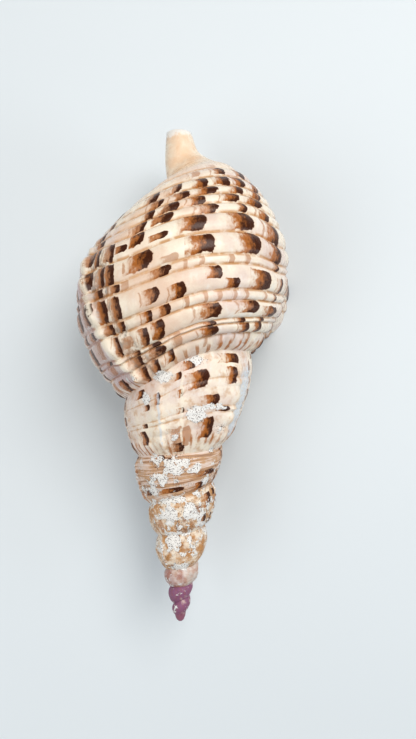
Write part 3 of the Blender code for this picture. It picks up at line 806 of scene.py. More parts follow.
def close_lip(sheet, rows, total):
    """Round the lip edge and close the end of the last turn with a lid."""
    edge = rows[0]
    places = np.array([c[0] for c in edge])
    point = outline(LIP_TURN, places)
    normal = outline_normal(LIP_TURN, places)
    start = flare(LIP_TURN, places)
    depth = RIM * (1.0 - ramp(places, *RIM_END)) * ease(places / 1.5) + RIM_LEAST
    angle = LIP_ANGLE - TURN * LIP_TURN + sweep(LIP_TURN, places)
    previous = edge
    ends = []
    for share in RIM_SHARES:
        across = point + normal * (start - depth * share)
        bulge = RIM_ROUND * math.sin(math.pi * share) * ease(places / 2.0)
        turned = angle + bulge / np.maximum(across[1], 8.0 * MM)
        spots = in_space(across[0], across[1], turned, 1.0 * MM * share)
        cells = [edge[0]]
        for k in range(1, len(places)):
            sheet.points.append(spots[k])
            cells.append((places[k], total, (LIP_TURN - 0.004 * share, places[k])))
            total += 1
        sheet.zip(cells, previous)
        previous = cells
        ends.append(cells[-1])
    rim = previous
    lip = [(c[0] / LAST_PLACE, c[1], c[2]) for c in rim]
    under = [((c[0] - SUTURE_PLACE) / (LAST_PLACE - SUTURE_PLACE), c[1], c[2])
             for c in rows[ROWS] if c[0] >= SUTURE_PLACE - 1e-6]
    sheet.zip(under, lip, 1)
    return ends


def close_canal(sheet, rows, ends):
    """Close the worn end of the canal."""
    ring = [row[-1] for row in rows[:ROWS + 1]] + ends[::-1]
    spots = np.array([sheet.points[c[1]] for c in ring])
    middle = spots.mean(axis=0)
    previous = ring
    for scale, rise in CANAL_RINGS:
        cells = []
        for cell, spot in zip(ring, spots):
            sheet.points.append(middle + (spot - middle) * scale + np.array((0, rise * MM, 0)))
            cells.append((cell[0], len(sheet.points) - 1, (cell[2][0], LAST_PLACE)))
        for k in range(len(ring)):
            a, b = previous[k - 1], previous[k]
            c, d = cells[k], cells[k - 1]
            sheet.add([a[1], b[1], c[1], d[1]], [a[2], b[2], c[2], d[2]])
        previous = cells
    sheet.points.append(middle + np.array((0, CANAL_TIP, 0)))
    tip = len(sheet.points) - 1
    for a, b in zip(previous, previous[1:] + previous[:1]):
        sheet.add([a[1], b[1], tip], [a[2], b[2], a[2]])


def close_apex(sheet, rows, count):
    """Close the rim of the last rows with rings that rise to a blunt tip."""
    top = [c[1] for c in rows[count]][:-1]
    loop = top + [rows[row][0][1] for row in range(count - ROWS, count)]
    spots = np.array([sheet.points[i] for i in loop])
    middle = spots.mean(axis=0)
    top = -CAD_BOX[1][1] + APEX_INSET
    corner = (LIP_TURN + count / ROWS, 3.0)
    for scale, share in APEX_RINGS:
        ring = []
        for spot in spots:
            point = middle + (spot - middle) * scale
            point[1] = point[1] + (top - point[1]) * share
            sheet.points.append(point)
            ring.append(len(sheet.points) - 1)
        for k in range(len(loop)):
            sheet.add([loop[k - 1], loop[k], ring[k], ring[k - 1]], [corner] * 4)
        loop = ring
    middle[1] = top
    sheet.points.append(middle)
    tip = len(sheet.points) - 1
    for a, b in zip(loop, loop[1:] + loop[:1]):
        sheet.add([a, b, tip], [corner] * 3)


# Hollow of the last turn and slit of the canal

def lip_teeth(turns, place):
    """Pairs of teeth behind the lip edge, one pair at each groove, and the patch round them."""
    teeth = np.zeros_like(place)
    patch = np.zeros_like(place)
    for groove in CORD_EDGES[1:-1]:
        for side in (-TOOTH_APART, TOOTH_APART):
            teeth = np.maximum(teeth, np.exp(-((place - groove - side) / TOOTH_HALF) ** 2))
        patch = np.maximum(patch, np.exp(-((place - groove) / PATCH_HALF) ** 4))
    reach = np.exp(-((turns - LIP_TURN - TOOTH_PLACE) / TOOTH_REACH) ** 2)
    return teeth * reach, patch


def hollow_section(angle):
    """Points round one section of the hollow, with their corners and finish values."""
    turns = (LIP_ANGLE - angle) / TURN
    outer_turns = max(turns, LIP_TURN)
    ahead = max(LIP_TURN - turns, 0.0) / 0.1
    place = np.array(columns(HOLLOW_OUTER[0], HOLLOW_OUTER[1], HOLLOW_OUTER_DENSITY, 4))
    teeth, patch = lip_teeth(outer_turns, place)
    depth = WALL - flare(outer_turns, place) + TOOTH_HEIGHT * teeth
    outer = outline(outer_turns, place) - outline_normal(outer_turns, place) * depth
    outer[1] *= 1.0 + HOLLOW_SPREAD * ahead * (1.0 - ramp(place, *SPREAD_END))
    outer_angle = angle + sweep(outer_turns, place)
    edge = np.clip(1.0 - (outer_turns - LIP_TURN) / PALE_EDGE, 0.0, 1.0) * np.ones_like(place)
    values = [np.stack([edge, np.clip(teeth * TOOTH_GLEAM, 0.0, 1.0), 0.0 * place, patch], axis=-1)]
    inner_place = np.linspace(HOLLOW_INNER[0], HOLLOW_INNER[1], HOLLOW_INNER_POINTS)
    fade = 1.0 - ramp(turns, *WRINKLE_END)
    wave = 0.5 + 0.5 * np.cos(TURN * WRINKLES_PER_PLACE * inner_place + 6.0 * turns)
    normal = normal_of(body_outline, turns + 1.0, inner_place, 0.3, math.inf)
    base = outline(turns + 1.0, inner_place)
    if turns >= 0.0:
        base = body_outline(turns + 1.0, inner_place)
    inner = base + normal * (CALLUS + WRINKLE_HEIGHT * wave * fade)
    inner_angle = angle + sweep(turns + 1.0, inner_place)
    near = np.full_like(inner_place, fade)
    values.append(np.stack([near, wave, np.ones_like(wave), 0.0 * wave], axis=-1))
    points = np.concatenate([outer, inner], axis=1)
    angles = np.concatenate([outer_angle, inner_angle])
    places = np.concatenate([place, inner_place])
    return points, angles, places, np.concatenate(values)


def hollow_tool():
    """Closed body of the space inside the last turn."""
    angles = []
    for start, end, steps in HOLLOW_ANGLES:
        angles += [start + (end - start) * k / steps for k in range(steps)]
    last = HOLLOW_ANGLES[-1]
    angles.append(last[1])
    sections = [(math.radians(a) + LIP_ANGLE, 1.0) for a in angles]
    for k, scale in enumerate(HOLLOW_ENDS):
        sections.append((LIP_ANGLE + math.radians(last[1] - HOLLOW_END_STEP * (k + 1)), scale))
    points, uvs, values = [], [], []
    for angle, scale in sections:
        spots, turned, places, finish = hollow_section(angle)
        middle = spots.mean(axis=1, keepdims=True)
        spots = middle + (spots - middle) * scale
        placed = np.stack([spots[1] * np.sin(turned), spots[0] - SHELL_LENGTH / 2.0,
                           spots[1] * np.cos(turned)], axis=-1) + np.array(SETTLE)
        points.append(placed)
        uvs.append(np.stack([np.full(len(places), (LIP_ANGLE - angle) / TURN), places], axis=-1))
        values.append(finish)
    points, uvs, values = map(np.concatenate, (points, uvs, values))
    return tube("hollow", points.tolist(), len(sections), uvs, values)


def tube(name, points, sections, uvs, values):
    """Closed body through sections of as many points each, with finish values per point."""
    size = len(points) // sections
    faces = []
    for k in range(sections - 1):
        for i in range(size):
            j = (i + 1) % size
            faces.append((k * size + i, k * size + j, (k + 1) * size + j, (k + 1) * size + i))
    faces.append(tuple(range(size)))
    faces.append(tuple(range(len(points) - size, len(points))))
    mesh = bpy.data.meshes.new(name)
    mesh.from_pydata(points, [], faces)
    corner = np.array([i for face in faces for i in face])
    set_corners(mesh, uvs[corner], values[corner], np.zeros((len(corner), 4)))
    return finished_object(name, mesh)


def slit_tool():
    """Closed body of the canal's groove, open on the side of the aperture."""
    points = []
    for height, half, top in SLIT_SECTIONS:
        corners = (
            (-half, -SLIT_DEPTH / MM), (half, -SLIT_DEPTH / MM), (half, top - half * 0.8),
            (half * 0.7, top - half * 0.25), (half * 0.3, top), (-half * 0.3, top),
            (-half * 0.7, top - half * 0.25), (-half, top - half * 0.8))
        for x, z in corners:
            points.append(Vector((x * MM + SLIT_SHIFT, height * MM - SHELL_LENGTH / 2.0, z * MM)))
            points[-1] += SETTLE
    count = len(points)
    return tube("slit", [tuple(p) for p in points], len(SLIT_SECTIONS),
                np.full((count, 2), SLIT_CORNER), np.tile(SLIT_FINISH, (count, 1)))


def set_corners(mesh, uvs, marks, forms):
    """Store turns and place as UVs, and the two sets of finish values, on the face corners."""
    layer = mesh.uv_layers.new(name="turns_place")
    layer.data.foreach_set("uv", np.asarray(uvs, np.float32).ravel())
    for name, data in (("marks", marks), ("forms", forms)):
        attribute = mesh.color_attributes.new(name=name, type="FLOAT_COLOR", domain="CORNER")
        attribute.data.foreach_set("color", np.asarray(data, np.float32).ravel())


def finished_object(name, mesh):
    """An object of a mesh whose faces all point outwards."""
    work = bmesh.new()
    work.from_mesh(mesh)
    bmesh.ops.recalc_face_normals(work, faces=work.faces)
    if work.calc_volume(signed=True) < 0.0:
        bmesh.ops.reverse_faces(work, faces=work.faces)
    work.to_mesh(mesh)
    work.free()
    piece = bpy.data.objects.new(name, mesh)
    bpy.context.collection.objects.link(piece)
    return piece


def carve(piece, tool):
    """Cut a tool out of the piece and drop the tool."""
    bpy.ops.object.select_all(action="DESELECT")
    bpy.context.view_layer.objects.active = piece
    piece.select_set(True)
    step = piece.modifiers.new("carve", "BOOLEAN")
    step.operation = "DIFFERENCE"
    step.solver = "EXACT"
    step.material_mode = "TRANSFER"
    step.object = tool
    bpy.ops.object.modifier_apply(modifier=step.name)
    bpy.data.objects.remove(tool, do_unlink=True)


# Marks, grooves, worn edges and crust as values on the face corners

def crust_weight(points):
    """How much crust lies at each point: patches on top, an even share on the old turns."""
    x, y, z = points[:, 0] / MM, points[:, 1] / MM, points[:, 2] / MM
    spire, near_apex, body = [most * ease((start - y) / length)
                              for start, length, most in CRUST_EVEN]
    weight = spire * (1.0 - near_apex)
    weight += body * (z < CRUST_BODY_HIGHEST)
    for centre_x, centre_y, half_x, half_y, strength in CRUST_SPOTS:
        away = ((x - centre_x) / half_x) ** 2 + ((y - centre_y) / half_y) ** 2
        spot = CRUST_SPOT_MOST * strength * np.exp(-away) * (z > CRUST_SPOT_LOWEST)
        weight = np.maximum(weight, spot)
    for i in np.nonzero(weight > CRUST_LEAST)[0]:
        grain = Vector(points[i]) * CRUST_GRAIN
        weight[i] *= 1.0 + 1.1 * noise.noise(grain) + 0.6 * noise.noise(grain * 2.7)
    return np.clip(weight, 0.0, 1.0)


def cord_marks(cord, seed):
    """All marks of a cord: the listed ones where it shows, a seeded row of them elsewhere."""
    rule = random.Random(seed)
    low, high = MARK_SIDE
    marks = list(MARKS[cord])
    angle = high + rule.uniform(4.0, 10.0)
    while angle < MARK_FIRST:
        marks.append((angle + 8.0, rule.uniform(*MARK_LENGTH), -0.9, 0.9, rule.uniform(0.7, 1.0)))
        angle += rule.uniform(*MARK_SPACING)
    if 3 <= cord <= 8:
        for start in (-24.5, -33.5):
            start += rule.uniform(-2.5, 2.5) - 1.2 * (cord - 3)
            marks.append((start, rule.uniform(3.0, 7.5), -1.0, 0.8, rule.uniform(0.74, 0.95)))
    angle = low - rule.uniform(8.0, 14.0)
    while angle > MARK_LAST or (cord < 7 and angle > degrees_at(SPIRE_TURNS)):
        if not any(abs(angle - m[0]) < 8.0 for m in MARKS[cord]):
            lean = rule.uniform(-0.3, 0.3)
            marks.append((angle, rule.uniform(*MARK_LENGTH), -0.9 + max(lean, 0.0),
                          0.9 + min(lean, 0.0), rule.uniform(0.6, 1.0)))
        angle -= rule.uniform(*MARK_SPACING)
    return [m + (rule.random(),) for m in marks]


def store_marks(values, corners, behind, over, strength, seed):
    """Note on face corners how far behind a mark's front edge and across it they lie."""
    values[corners, 0] = np.clip((behind + BEHIND_SHIFT) / BEHIND_SPAN, 0.0, 1.0)
    values[corners, 1] = np.clip((over + OVER_SHIFT) / OVER_SPAN, 0.0, 1.0)
    values[corners, 2] = strength
    values[corners, 3] = seed


def mark_values(turns, place, face, centre_turns, centre_place):
    """Distance behind a mark's front edge, place across it, strength and seed, per corner."""
    cord, _ = cord_share(centre_place)
    angle = degrees_at(centre_turns)
    values = np.zeros((len(turns), 4))
    edges = np.array(CORD_EDGES)
    for number in range(len(CORD_EDGES) - 1):
        chosen = np.nonzero(cord == number)[0]
        if not len(chosen):
            continue
        marks = np.array(cord_marks(number, MARK_SEED + number))
        behind = marks[None, :, 0] - angle[chosen][:, None]
        away = np.maximum(-behind, behind - marks[None, :, 1])
        best = np.zeros(len(cord), int)
        best[chosen] = away.argmin(axis=1)
        corners = np.nonzero(cord[face] == number)[0]
        mark = marks[best[face[corners]]]
        behind = (mark[:, 0] - degrees_at(turns[corners])) / mark[:, 1]
        low, high = edges[number], edges[number + 1]
        over = 2.0 * (place[corners] - low) / (high - low) - 1.0
        over = (over - (mark[:, 2] + mark[:, 3]) / 2.0) / ((mark[:, 3] - mark[:, 2]) / 2.0)
        store_marks(values, corners, behind, over, mark[:, 4], mark[:, 5])
    free_marks(values, turns, place, face, centre_turns, centre_place)
    return values


def free_marks(values, turns, place, face, centre_turns, centre_place):
    """The marks of the spire where it shows, which run over its faint cords."""
    angle = degrees_at(centre_turns)
    shown = np.zeros(len(angle), bool)
    for low, high in SPIRE_SHOWN:
        shown |= (angle > low) & (angle < high) & (centre_place < SUTURE_PLACE)
    marks = np.array(SPIRE_MARKS)
    chosen = np.nonzero(shown)[0]
    behind = (marks[None, :, 2] - angle[chosen][:, None]) / marks[None, :, 3]
    middle = (marks[:, 0] + marks[:, 1]) / 2.0
    half = (marks[:, 1] - marks[:, 0]) / 2.0
    over = (centre_place[chosen][:, None] - middle) / half
    away = np.maximum(np.abs(behind - 0.6) * 1.6, np.abs(over))
    best = np.zeros(len(angle), int)
    best[chosen] = away.argmin(axis=1)
    corners = np.nonzero(shown[face])[0]
    pick = best[face[corners]]
    behind = (marks[pick, 2] - degrees_at(turns[corners])) / marks[pick, 3]
    over = (place[corners] - middle[pick]) / half[pick]
    store_marks(values, corners, behind, over, marks[pick, 4], 0.5)


def sheet_mesh(sheet, sizes):
    """Mesh of the sheet with its finish values."""
    mesh = bpy.data.meshes.new("shell_surface")
    mesh.from_pydata([tuple(p) for p in sheet.points], [], sheet.faces)
    lengths = np.array([len(face) for face in sheet.faces])
    face = np.repeat(np.arange(len(lengths)), lengths)
    corners = np.array([c for group in sheet.corners for c in group])
    turns, place = corners[:, 0], corners[:, 1]
    starts = np.concatenate([[0], np.cumsum(lengths)[:-1]])
    centre_turns = np.add.reduceat(turns, starts) / lengths
    centre_place = np.add.reduceat(place, starts) / lengths
    marks = mark_values(turns, place, face, centre_turns, centre_place)
    inside = np.array(sheet.inside)
    lid = inside[face] == 1
    teeth, patch = lip_teeth(np.full(len(place), LIP_TURN), place)
    gleam = np.clip(teeth * TOOTH_GLEAM, 0, 1)
    lid_values = np.stack([np.ones_like(place), gleam, 0 * place, patch], -1)
    marks[lid] = lid_values[lid]
    _, groove = groove_near(turns, place, sizes.groove_width)
    # worn: line along the former lips' edges, worn cream or painted shade and painted sheen
    _, worn, side = varix_near(turns, place)
    points = np.array(sheet.points)[[i for f in sheet.faces for i in f]]
    crust = crust_weight(points) * (turns > 0.3)
    forms = np.stack([groove, worn, crust, side], axis=-1)
    set_corners(mesh, corners, marks, forms)
    mesh.polygons.foreach_set("material_index", inside)
    return mesh


# Finishes

class Finish:
    """A procedural material and short calls for its nodes."""

    def __init__(self, name):
        self.material = bpy.data.materials.new(name)
        self.material.use_nodes = True
        self.tree = self.material.node_tree
        self.surface = self.tree.nodes["Principled BSDF"]

    def node(self, kind, sockets, **settings):
        """A node with its settings, and its sockets set to values or links."""
        node = self.tree.nodes.new(kind)
        for key, value in settings.items():
            setattr(node, key, value)
        for key, value in sockets.items():
            self.put(node.inputs[key], value)
        return node

    def put(self, socket, value):
        """Set a socket to a value or link it."""
        if isinstance(value, bpy.types.NodeSocket):
            self.tree.links.new(value, socket)
        elif isinstance(value, (tuple, list)) and len(value) == 3 and len(socket.default_value) == 4:
            socket.default_value = (*value, 1.0)
        else:
            socket.default_value = value

    def math(self, operation, *values):
        """Math node on one to three values."""
        return self.node("ShaderNodeMath", dict(enumerate(values)), operation=operation).outputs[0]

    def chain(self, operation, values):
        """One math node after another over a row of values."""
        total = values[0]
        for value in values[1:]:
            total = self.math(operation, total, value)
        return total

    def add(self, *values):
        """Sum."""
        return self.chain("ADD", values)

    def times(self, *values):
        """Product."""
        return self.chain("MULTIPLY", values)

    def rest(self, value):
        """What is left of one."""
        return self.math("SUBTRACT", 1.0, value)

    def step(self, value, low, high):
        """Smooth step of a value from low to high."""
        node = self.node("ShaderNodeMapRange", {0: value, 1: low, 2: high, 3: 0.0, 4: 1.0},
                         interpolation_type="SMOOTHSTEP", clamp=True)
        return node.outputs[0]

    def mix(self, share, a, b):
        """Mix of two colours."""
        node = self.node("ShaderNodeMix", {0: share}, data_type="RGBA", clamp_factor=True)
        self.put(node.inputs[6], tuple(a) if not isinstance(a, bpy.types.NodeSocket) else a)
        self.put(node.inputs[7], tuple(b) if not isinstance(b, bpy.types.NodeSocket) else b)
        return node.outputs[2]

    def layer(self, ground, colour_above, *share):
        """A ground with a colour laid over a share of it."""
        return self.mix(self.times(*share), ground, colour_above)

    def noise(self, where, scale, detail, rough):
        """Noise value about 0.5."""
        return self.node("ShaderNodeTexNoise", {
            "Vector": where, "Scale": scale, "Detail": detail, "Roughness": rough}).outputs[0]

    def vector(self, x, y):
        """Vector of two values."""
        return self.node("ShaderNodeCombineXYZ", {0: x, 1: y, 2: 0.0}).outputs[0]

    def set_surface(self, sockets):
        """Set sockets of the surface to values or links."""
        for key, value in sockets.items():
            self.put(self.surface.inputs[key], value)

    def split(self, name):
        """The four values of a colour attribute."""
        node = self.node("ShaderNodeVertexColor", {}, layer_name=name)
        parts = self.node("ShaderNodeSeparateColor", {0: node.outputs[0]}).outputs
        return parts[0], parts[1], parts[2], node.outputs[1]

    def bump(self, height, distance, before=None):
        """Bump of a height."""
        sockets = {"Height": height, "Distance": distance, "Strength": 1.0}
        if before is not None:
            sockets["Normal"] = before
        return self.node("ShaderNodeBump", sockets).outputs[0]


def growth_coordinates(finish):
    """Object coordinates, turns, place, and a vector stretched along the growth lines."""
    where = finish.node("ShaderNodeTexCoord", {}).outputs["Object"]
    uv = finish.node("ShaderNodeUVMap", {}, uv_map="turns_place").outputs[0]
    parts = finish.node("ShaderNodeSeparateXYZ", {0: uv}).outputs
    stretched = finish.vector(finish.times(parts[0], 46.0), finish.times(parts[1], 0.9))
    return where, parts[0], parts[1], stretched


def outside_finish(colours):
    """Glossy cream with brown marks, dull and crusted on the old turns."""
    finish = Finish("shell_outside")
    where, turns, place, growth = growth_coordinates(finish)
    behind, over, strength, seed = finish.split("marks")
    # worn: line along the former lips' edges, painted shade and painted sheen from the second turn on
    groove, worn, crust, side = finish.split("forms")
    turned = finish.vector(finish.times(turns, 7.0), finish.times(place, 2.6))
    noises = {
        "clouds": finish.noise(where, 42.0, 4.0, 0.6),
        "fine": finish.noise(where, 420.0, 3.0, 0.6),
        "grit": finish.noise(where, 1500.0, 2.0, 0.6),
        "streaks": finish.noise(growth, 1.6, 4.0, 0.6),
        "threads": finish.noise(growth, 6.0, 3.0, 0.7),
        "spiral": finish.noise(turned, 1.0, 4.0, 0.6),
        "wobble": finish.noise(where, 210.0, 3.0, 0.6),
        "ragged": finish.noise(growth, 3.2, 3.0, 0.65),
    }
    ground = ground_colour(finish, colours, noises, turns, place, groove)
    old = finish.step(turns, *OLD_TURNS)
    ground = old_turns(finish, colours, noises, turns, ground)
    ground = first_lip(finish, colours, noises, side, ground)
    faded = finish.rest(finish.times(finish.step(turns, *FADED_MARKS), 0.8))
    strength = finish.times(strength, faded)
    ground = mark_colour(finish, colours, noises, (behind, over, strength, seed), ground)
    # worn cream ridges; from the second turn on the line along the ridges is bluish grey painted shade
    # and painted sheen, save a cream strip; chalk
    edge = finish.times(finish.step(worn, 0.45, 0.85), finish.step(noises["fine"], 0.3, 0.5))
    ridge = finish.mix(finish.step(turns, *SECOND_TURN), colours.cream, PAINTED_BLUE_SHADE_AND_SHEEN)
    strip = finish.times(finish.step(turns, *STRIP_TURNS), finish.rest(finish.step(turns, *STRIP_END)))
    ridge = finish.mix(strip, ridge, colours.cream)
    ground = finish.layer(ground, ridge, edge, 0.85)
    pits = finish.times(finish.noise(where, 650.0, 4.0, 0.7), 0.6)
    lumps = finish.add(finish.times(finish.noise(where, 150.0, 5.0, 0.65), 2.2), pits)
    cover = finish.step(finish.add(lumps, crust), 1.84, 1.92)
    cover = finish.times(cover, finish.step(crust, 0.03, 0.12))
    ground = finish.layer(ground, colours.chalk, cover, 0.93)
    rim = finish.times(finish.step(crust, 0.15, 0.5), finish.step(noises["grit"], 0.56, 0.62))
    ground = finish.layer(ground, colours.dark, rim, 0.8)
    tip = finish.step(finish.add(place, finish.times(noises["fine"], 0.6)), *TIP_PLACES)
    ground = finish.layer(ground, colours.chalk, tip, 0.8)
    dull = finish.add(finish.times(old, 0.2), finish.times(cover, 0.35))
    rough = finish.add(0.2, dull, finish.times(noises["fine"], 0.16))
    height = finish.add(finish.times(noises["threads"], 0.6), finish.times(noises["fine"], 0.35))
    normal = finish.bump(height, 0.22 * MM)
    gritty = finish.times(noises["grit"], finish.add(0.12, cover))
    normal = finish.bump(gritty, 0.35 * MM, normal)
    finish.set_surface({
        "Base Color": ground, "Roughness": rough, "IOR": 1.45, "Specular IOR Level": 0.32,
        "Coat Weight": 0.05, "Coat Roughness": 0.1, "Normal": normal})
    return finish.material


def ground_colour(finish, colours, noises, turns, place, groove):
    """Cream and blush ground with growth streaks, tan groove lines and the peach canal."""
    ground = finish.mix(finish.step(noises["clouds"], 0.38, 0.66), colours.cream, colours.blush)
    pale = finish.step(noises["streaks"], 0.5, 0.72)
    ground = finish.layer(ground, colours.chalk, pale, 0.5)
    tan = finish.times(finish.step(noises["threads"], 0.52, 0.74), 0.22)
    ground = finish.mix(tan, ground, colours.canal)
    grime = finish.times(finish.step(turns, *GRIME_TURNS), finish.step(noises["wobble"], 0.46, 0.7))
    ground = finish.layer(ground, colours.groove, grime, 0.55)
    near = finish.step(groove, 0.45, 0.98)
    line = finish.times(near, finish.step(noises["wobble"], 0.3, 0.58))
    ground = finish.layer(ground, colours.groove, line, 0.85)
    # stripes of the frill
    frill = finish.rest(finish.step(place, *FRILL_PLACES))
    frill = finish.times(frill, finish.rest(finish.step(turns, *FRILL_TURNS)))
    phase = finish.add(finish.times(turns, TURN * FRILL_BEADS), finish.times(place, FRILL_SLANT))
    phase = finish.add(phase, finish.times(noises["clouds"], 5.0))
    valley = finish.times(finish.math("SINE", phase), -1.0)
    stripe = finish.step(finish.add(valley, finish.times(noises["wobble"], 1.2)), 1.0, 1.4)
    frill = finish.times(frill, stripe, finish.step(noises["clouds"], 0.4, 0.55))
    ground = finish.layer(ground, colours.rust, frill, 0.85)
    warm = finish.times(finish.step(turns, *WARM_TURNS), finish.step(noises["clouds"], 0.36, 0.6),
                        finish.rest(finish.step(turns, *WARM_END)))
    ground = finish.layer(ground, colours.canal, warm, 0.5)
    canal = finish.step(finish.add(place, finish.times(noises["streaks"], 1.4)), *CANAL_PLACES)
    peach = finish.mix(finish.step(noises["clouds"], 0.36, 0.66), colours.canal, colours.cream)
    return finish.mix(canal, ground, peach)


def old_turns(finish, colours, noises, turns, ground):
    """Tan brown third turn, orange tan above it, then mauve towards the apex."""
    grain = finish.add(noises["spiral"], finish.times(noises["wobble"], 0.4))
    brown = finish.mix(finish.step(grain, 0.62, 0.84), colours.groove, colours.blush)
    brown = finish.mix(finish.step(noises["spiral"], 0.36, 0.52), colours.spire, brown)
    ground = finish.layer(ground, brown, finish.step(turns, *OLD_TURNS), 0.88)
    orange = finish.mix(finish.step(noises["wobble"], 0.4, 0.62), colours.groove, colours.cream)
    orange = finish.mix(finish.step(noises["clouds"], 0.52, 0.6), orange, colours.spire)
    ground = finish.layer(ground, orange, finish.step(turns, *ORANGE_TURNS), 0.8)
    lilac = finish.mix(finish.step(noises["clouds"], 0.45, 0.6), colours.apex, colours.chalk)
    ground = finish.layer(ground, lilac, finish.step(turns, *LILAC_TURNS), 0.5)
    first = finish.mix(finish.step(noises["wobble"], 0.55, 0.75), colours.apex, colours.blush)
    return finish.mix(finish.step(turns, *FIRST_TURNS), ground, first)


def first_lip(finish, colours, noises, side, ground):
    """Brown blotches before the ridge of the first former lip, mauve painted shade behind it."""
    foot = finish.step(side, 0.55, 0.95)
    grain = finish.add(noises["ragged"], finish.times(noises["wobble"], 0.5))
    blotch = finish.step(grain, 0.66, 0.78)
    rusty = finish.mix(finish.step(noises["streaks"], 0.45, 0.6), colours.rust, colours.dark)
    ground = finish.layer(ground, rusty, foot, blotch, 0.5)
    # mauve painted shade on the lower surface behind the ridge
    back = finish.rest(finish.step(side, 0.05, 0.45))
    return finish.layer(ground, colours.apex, back, 0.4)


def mark_colour(finish, colours, noises, values, ground):
    """Marks with a sharp, convex front edge whose back fades into rusty crescents."""
    behind, over, strength, seed = values
    wobble, ragged, broad = [finish.math("SUBTRACT", noises[name], 0.5)
                             for name in ("wobble", "ragged", "clouds")]
    along = finish.math("SUBTRACT", finish.times(behind, BEHIND_SPAN), BEHIND_SHIFT)
    along = finish.add(along, finish.times(wobble, 0.45))
    across = finish.math("SUBTRACT", finish.times(over, OVER_SPAN), OVER_SHIFT)
    across = finish.add(across, finish.times(wobble, 0.7), finish.times(broad, 0.6))
    square = finish.times(across, across)
    front = finish.math("SUBTRACT", along, finish.times(square, 0.22))
    inside = finish.step(finish.rest(finish.math("ABSOLUTE", across)), 0.0, 0.12)
    shape = finish.times(finish.step(front, 0.0, 0.04), inside)
    back = finish.add(front, finish.times(ragged, 1.2), finish.times(seed, 0.2))
    core = finish.rest(finish.step(back, 0.42, 0.85))
    fringe = finish.rest(finish.step(back, 0.85, 1.18))
    # thin crescents behind the mark
    ring = finish.math("ABSOLUTE", finish.math("SUBTRACT", front, 1.28))
    ring = finish.rest(finish.step(ring, 0.02, 0.1))
    ring = finish.times(ring, finish.step(finish.add(seed, finish.times(ragged, 0.8)), 0.45, 0.6))
    depth = finish.times(shape, strength)
    halo = finish.times(finish.step(front, -0.1, 0.1), inside)
    halo = finish.times(halo, finish.rest(finish.step(back, 1.0, 1.5)), 0.3, strength)
    for share in (halo, finish.times(depth, ring, 0.6), finish.times(depth, fringe, 0.95)):
        ground = finish.mix(share, ground, colours.rust)
    strong = finish.times(finish.step(strength, 0.62, 0.7), finish.times(shape, core))
    return finish.mix(finish.times(strong, 0.98), ground, colours.dark)


def lining_finish(colours):
    """Orange porcelain, with white teeth on dark patches and white wrinkles on the pillar."""
    finish = Finish("shell_lining")
    where, _, _, growth = growth_coordinates(finish)
    edge, ridge, pillar, patch = finish.split("marks")
    clouds = finish.noise(where, 55.0, 3.0, 0.5)
    streaks = finish.noise(growth, 2.0, 3.0, 0.5)
    pale = finish.mix(finish.step(clouds, 0.35, 0.7), colours.cream, colours.canal)
    ground = finish.mix(finish.step(edge, 0.1, 0.75), colours.lining, pale)
    lip = finish.rest(pillar)
    spot = finish.times(finish.step(edge, 0.45, 0.6), lip, patch)
    spot = finish.step(finish.add(spot, finish.times(streaks, 0.3)), 0.55, 0.75)
    ground = finish.mix(spot, ground, colours.dark)
    ground = finish.layer(ground, colours.dark, finish.step(edge, 0.05, 0.5), pillar, 0.92)
    teeth = finish.times(finish.step(ridge, 0.5, 0.8), finish.step(edge, 0.1, 0.5))
    ground = finish.layer(ground, colours.chalk, teeth, 0.9)
    finish.set_surface({
        "Base Color": ground, "Roughness": 0.2, "Coat Weight": 0.3, "Coat Roughness": 0.08,
        "Normal": finish.bump(streaks, 0.1 * MM)})
    return finish.material


def floor_finish(colour_of_floor):
    """Plain pale floor with a faint unevenness."""
    finish = Finish("pale_floor")
    where = finish.node("ShaderNodeTexCoord", {}).outputs["Object"]
    clouds = finish.noise(where, 3.0, 2.0, 0.5)
    shade = tuple(c * 0.96 for c in colour_of_floor)
    tone = finish.mix(clouds, tuple(colour_of_floor), shade)
    finish.set_surface({"Base Color": tone, "Roughness": 0.75})
    return finish.material


# Operators

class OBJECT_OT_triton_shell_surface(bpy.types.Operator):
    """Model the shell: turns, cords, frill, lip, hollow and canal"""

    bl_idname = "object.triton_shell_surface"
    bl_label = "Model the shell"

    def execute(self, context):
        sizes = context.scene.triton_sizes
        colours = context.scene.triton_colours
        bpy.ops.object.select_all(action="DESELECT")
        sheet = lay_turns(sizes)
        mesh = sheet_mesh(sheet, sizes)
        piece = finished_object("shell_surface", mesh)
        outer = outside_finish(colours)
        lining = lining_finish(colours)
        piece.data.materials.append(outer)
        piece.data.materials.append(lining)
        for tool in (hollow_tool(), slit_tool()):
            tool.data.materials.append(lining)
            carve(piece, tool)
        if len(piece.data.polygons) < len(sheet.faces) // 2:
            raise RuntimeError("the hollow could not be cut out of the shell")
        bpy.ops.object.shade_smooth_by_angle(angle=SMOOTH_ANGLE)
        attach(piece, BODY)
        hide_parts(NODE)
        return {"FINISHED"}


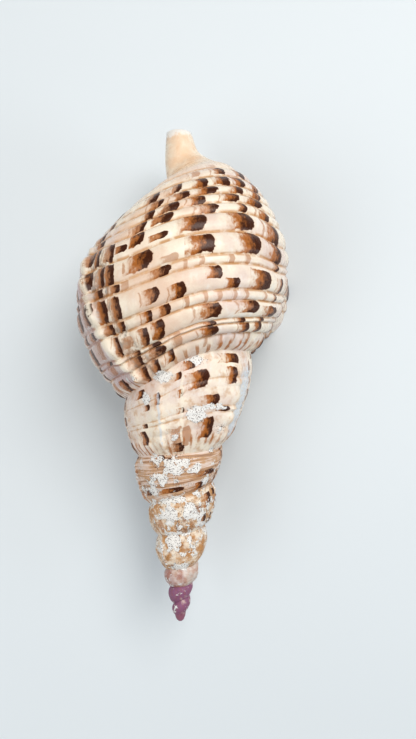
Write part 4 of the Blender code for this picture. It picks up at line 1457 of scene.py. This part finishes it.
class SCENE_OT_triton_shell_stage(bpy.types.Operator):
    """Lay the pale floor and set the light and the camera"""

    bl_idname = "scene.triton_shell_stage"
    bl_label = "Set the stage"

    def execute(self, context):
        stage = context.scene.triton_stage
        bpy.ops.object.select_all(action="DESELECT")
        bpy.ops.mesh.primitive_plane_add(size=FLOOR_SIZE, location=(0.0, 0.0, 0.0))
        floor = context.active_object
        floor.name = "floor"
        floor.data.materials.append(floor_finish(stage.floor_colour))
        self.light(stage.key_power, *MAIN_LIGHT)
        self.light(stage.fill_power, *FILL_LIGHT)
        self.light(stage.fill_power, *SIDE_LIGHT)
        world = bpy.data.worlds.new("studio")
        world.use_nodes = True
        world.node_tree.nodes["Background"].inputs[0].default_value = SKY
        world.node_tree.nodes["Background"].inputs[1].default_value = SKY_STRENGTH
        context.scene.world = world
        camera = bpy.data.objects.new("camera", bpy.data.cameras.new("camera"))
        context.collection.objects.link(camera)
        camera.location = stage.camera_place
        camera.rotation_euler = (stage.tilt, 0.0, 0.0)
        camera.data.lens = stage.lens
        camera.data.sensor_width = SENSOR
        camera.data.clip_start = 0.01
        context.scene.camera = camera
        context.scene.view_settings.view_transform = "Standard"
        context.scene.view_settings.look = "Medium High Contrast"
        return {"FINISHED"}

    def light(self, power, name, place, size, share, tint):
        """One soft square light turned to the shell."""
        data = bpy.data.lights.new(name, "AREA")
        data.size = size
        data.energy = power * share
        data.color = tint
        lamp = bpy.data.objects.new(name, data)
        bpy.context.collection.objects.link(lamp)
        lamp.location = place
        aim = LIGHT_AIM - Vector(place)
        lamp.rotation_euler = aim.to_track_quat("-Z", "Y").to_euler()


class VIEW3D_PT_triton_shell(bpy.types.Panel):
    """Sizes, colours and steps of the shell"""

    bl_label = "Triton shell"
    bl_idname = "VIEW3D_PT_triton_shell"
    bl_space_type = "VIEW_3D"
    bl_region_type = "UI"
    bl_category = "Triton shell"

    def draw(self, context):
        for group in ("triton_sizes", "triton_colours", "triton_stage"):
            settings = getattr(context.scene, group)
            box = self.layout.box()
            for key in settings.__annotations__:
                box.prop(settings, key)
        self.layout.operator(OBJECT_OT_triton_shell_surface.bl_idname)
        self.layout.operator(SCENE_OT_triton_shell_stage.bl_idname)


CLASSES = (
    ShellSizes, ShellColours, StageSettings, OBJECT_OT_triton_shell_surface,
    SCENE_OT_triton_shell_stage, VIEW3D_PT_triton_shell,
)


def register():
    """Add the settings, the steps and the panel."""
    for item in CLASSES:
        bpy.utils.register_class(item)
    bpy.types.Scene.triton_sizes = bpy.props.PointerProperty(type=ShellSizes)
    bpy.types.Scene.triton_colours = bpy.props.PointerProperty(type=ShellColours)
    bpy.types.Scene.triton_stage = bpy.props.PointerProperty(type=StageSettings)


def unregister():
    """Take them away again."""
    for key in ("triton_sizes", "triton_colours", "triton_stage"):
        delattr(bpy.types.Scene, key)
    for item in reversed(CLASSES):
        bpy.utils.unregister_class(item)


def main():
    """Model the shell and its stage."""
    register()
    bpy.ops.object.triton_shell_surface()
    bpy.ops.scene.triton_shell_stage()


if __name__ == "__main__":
    main()
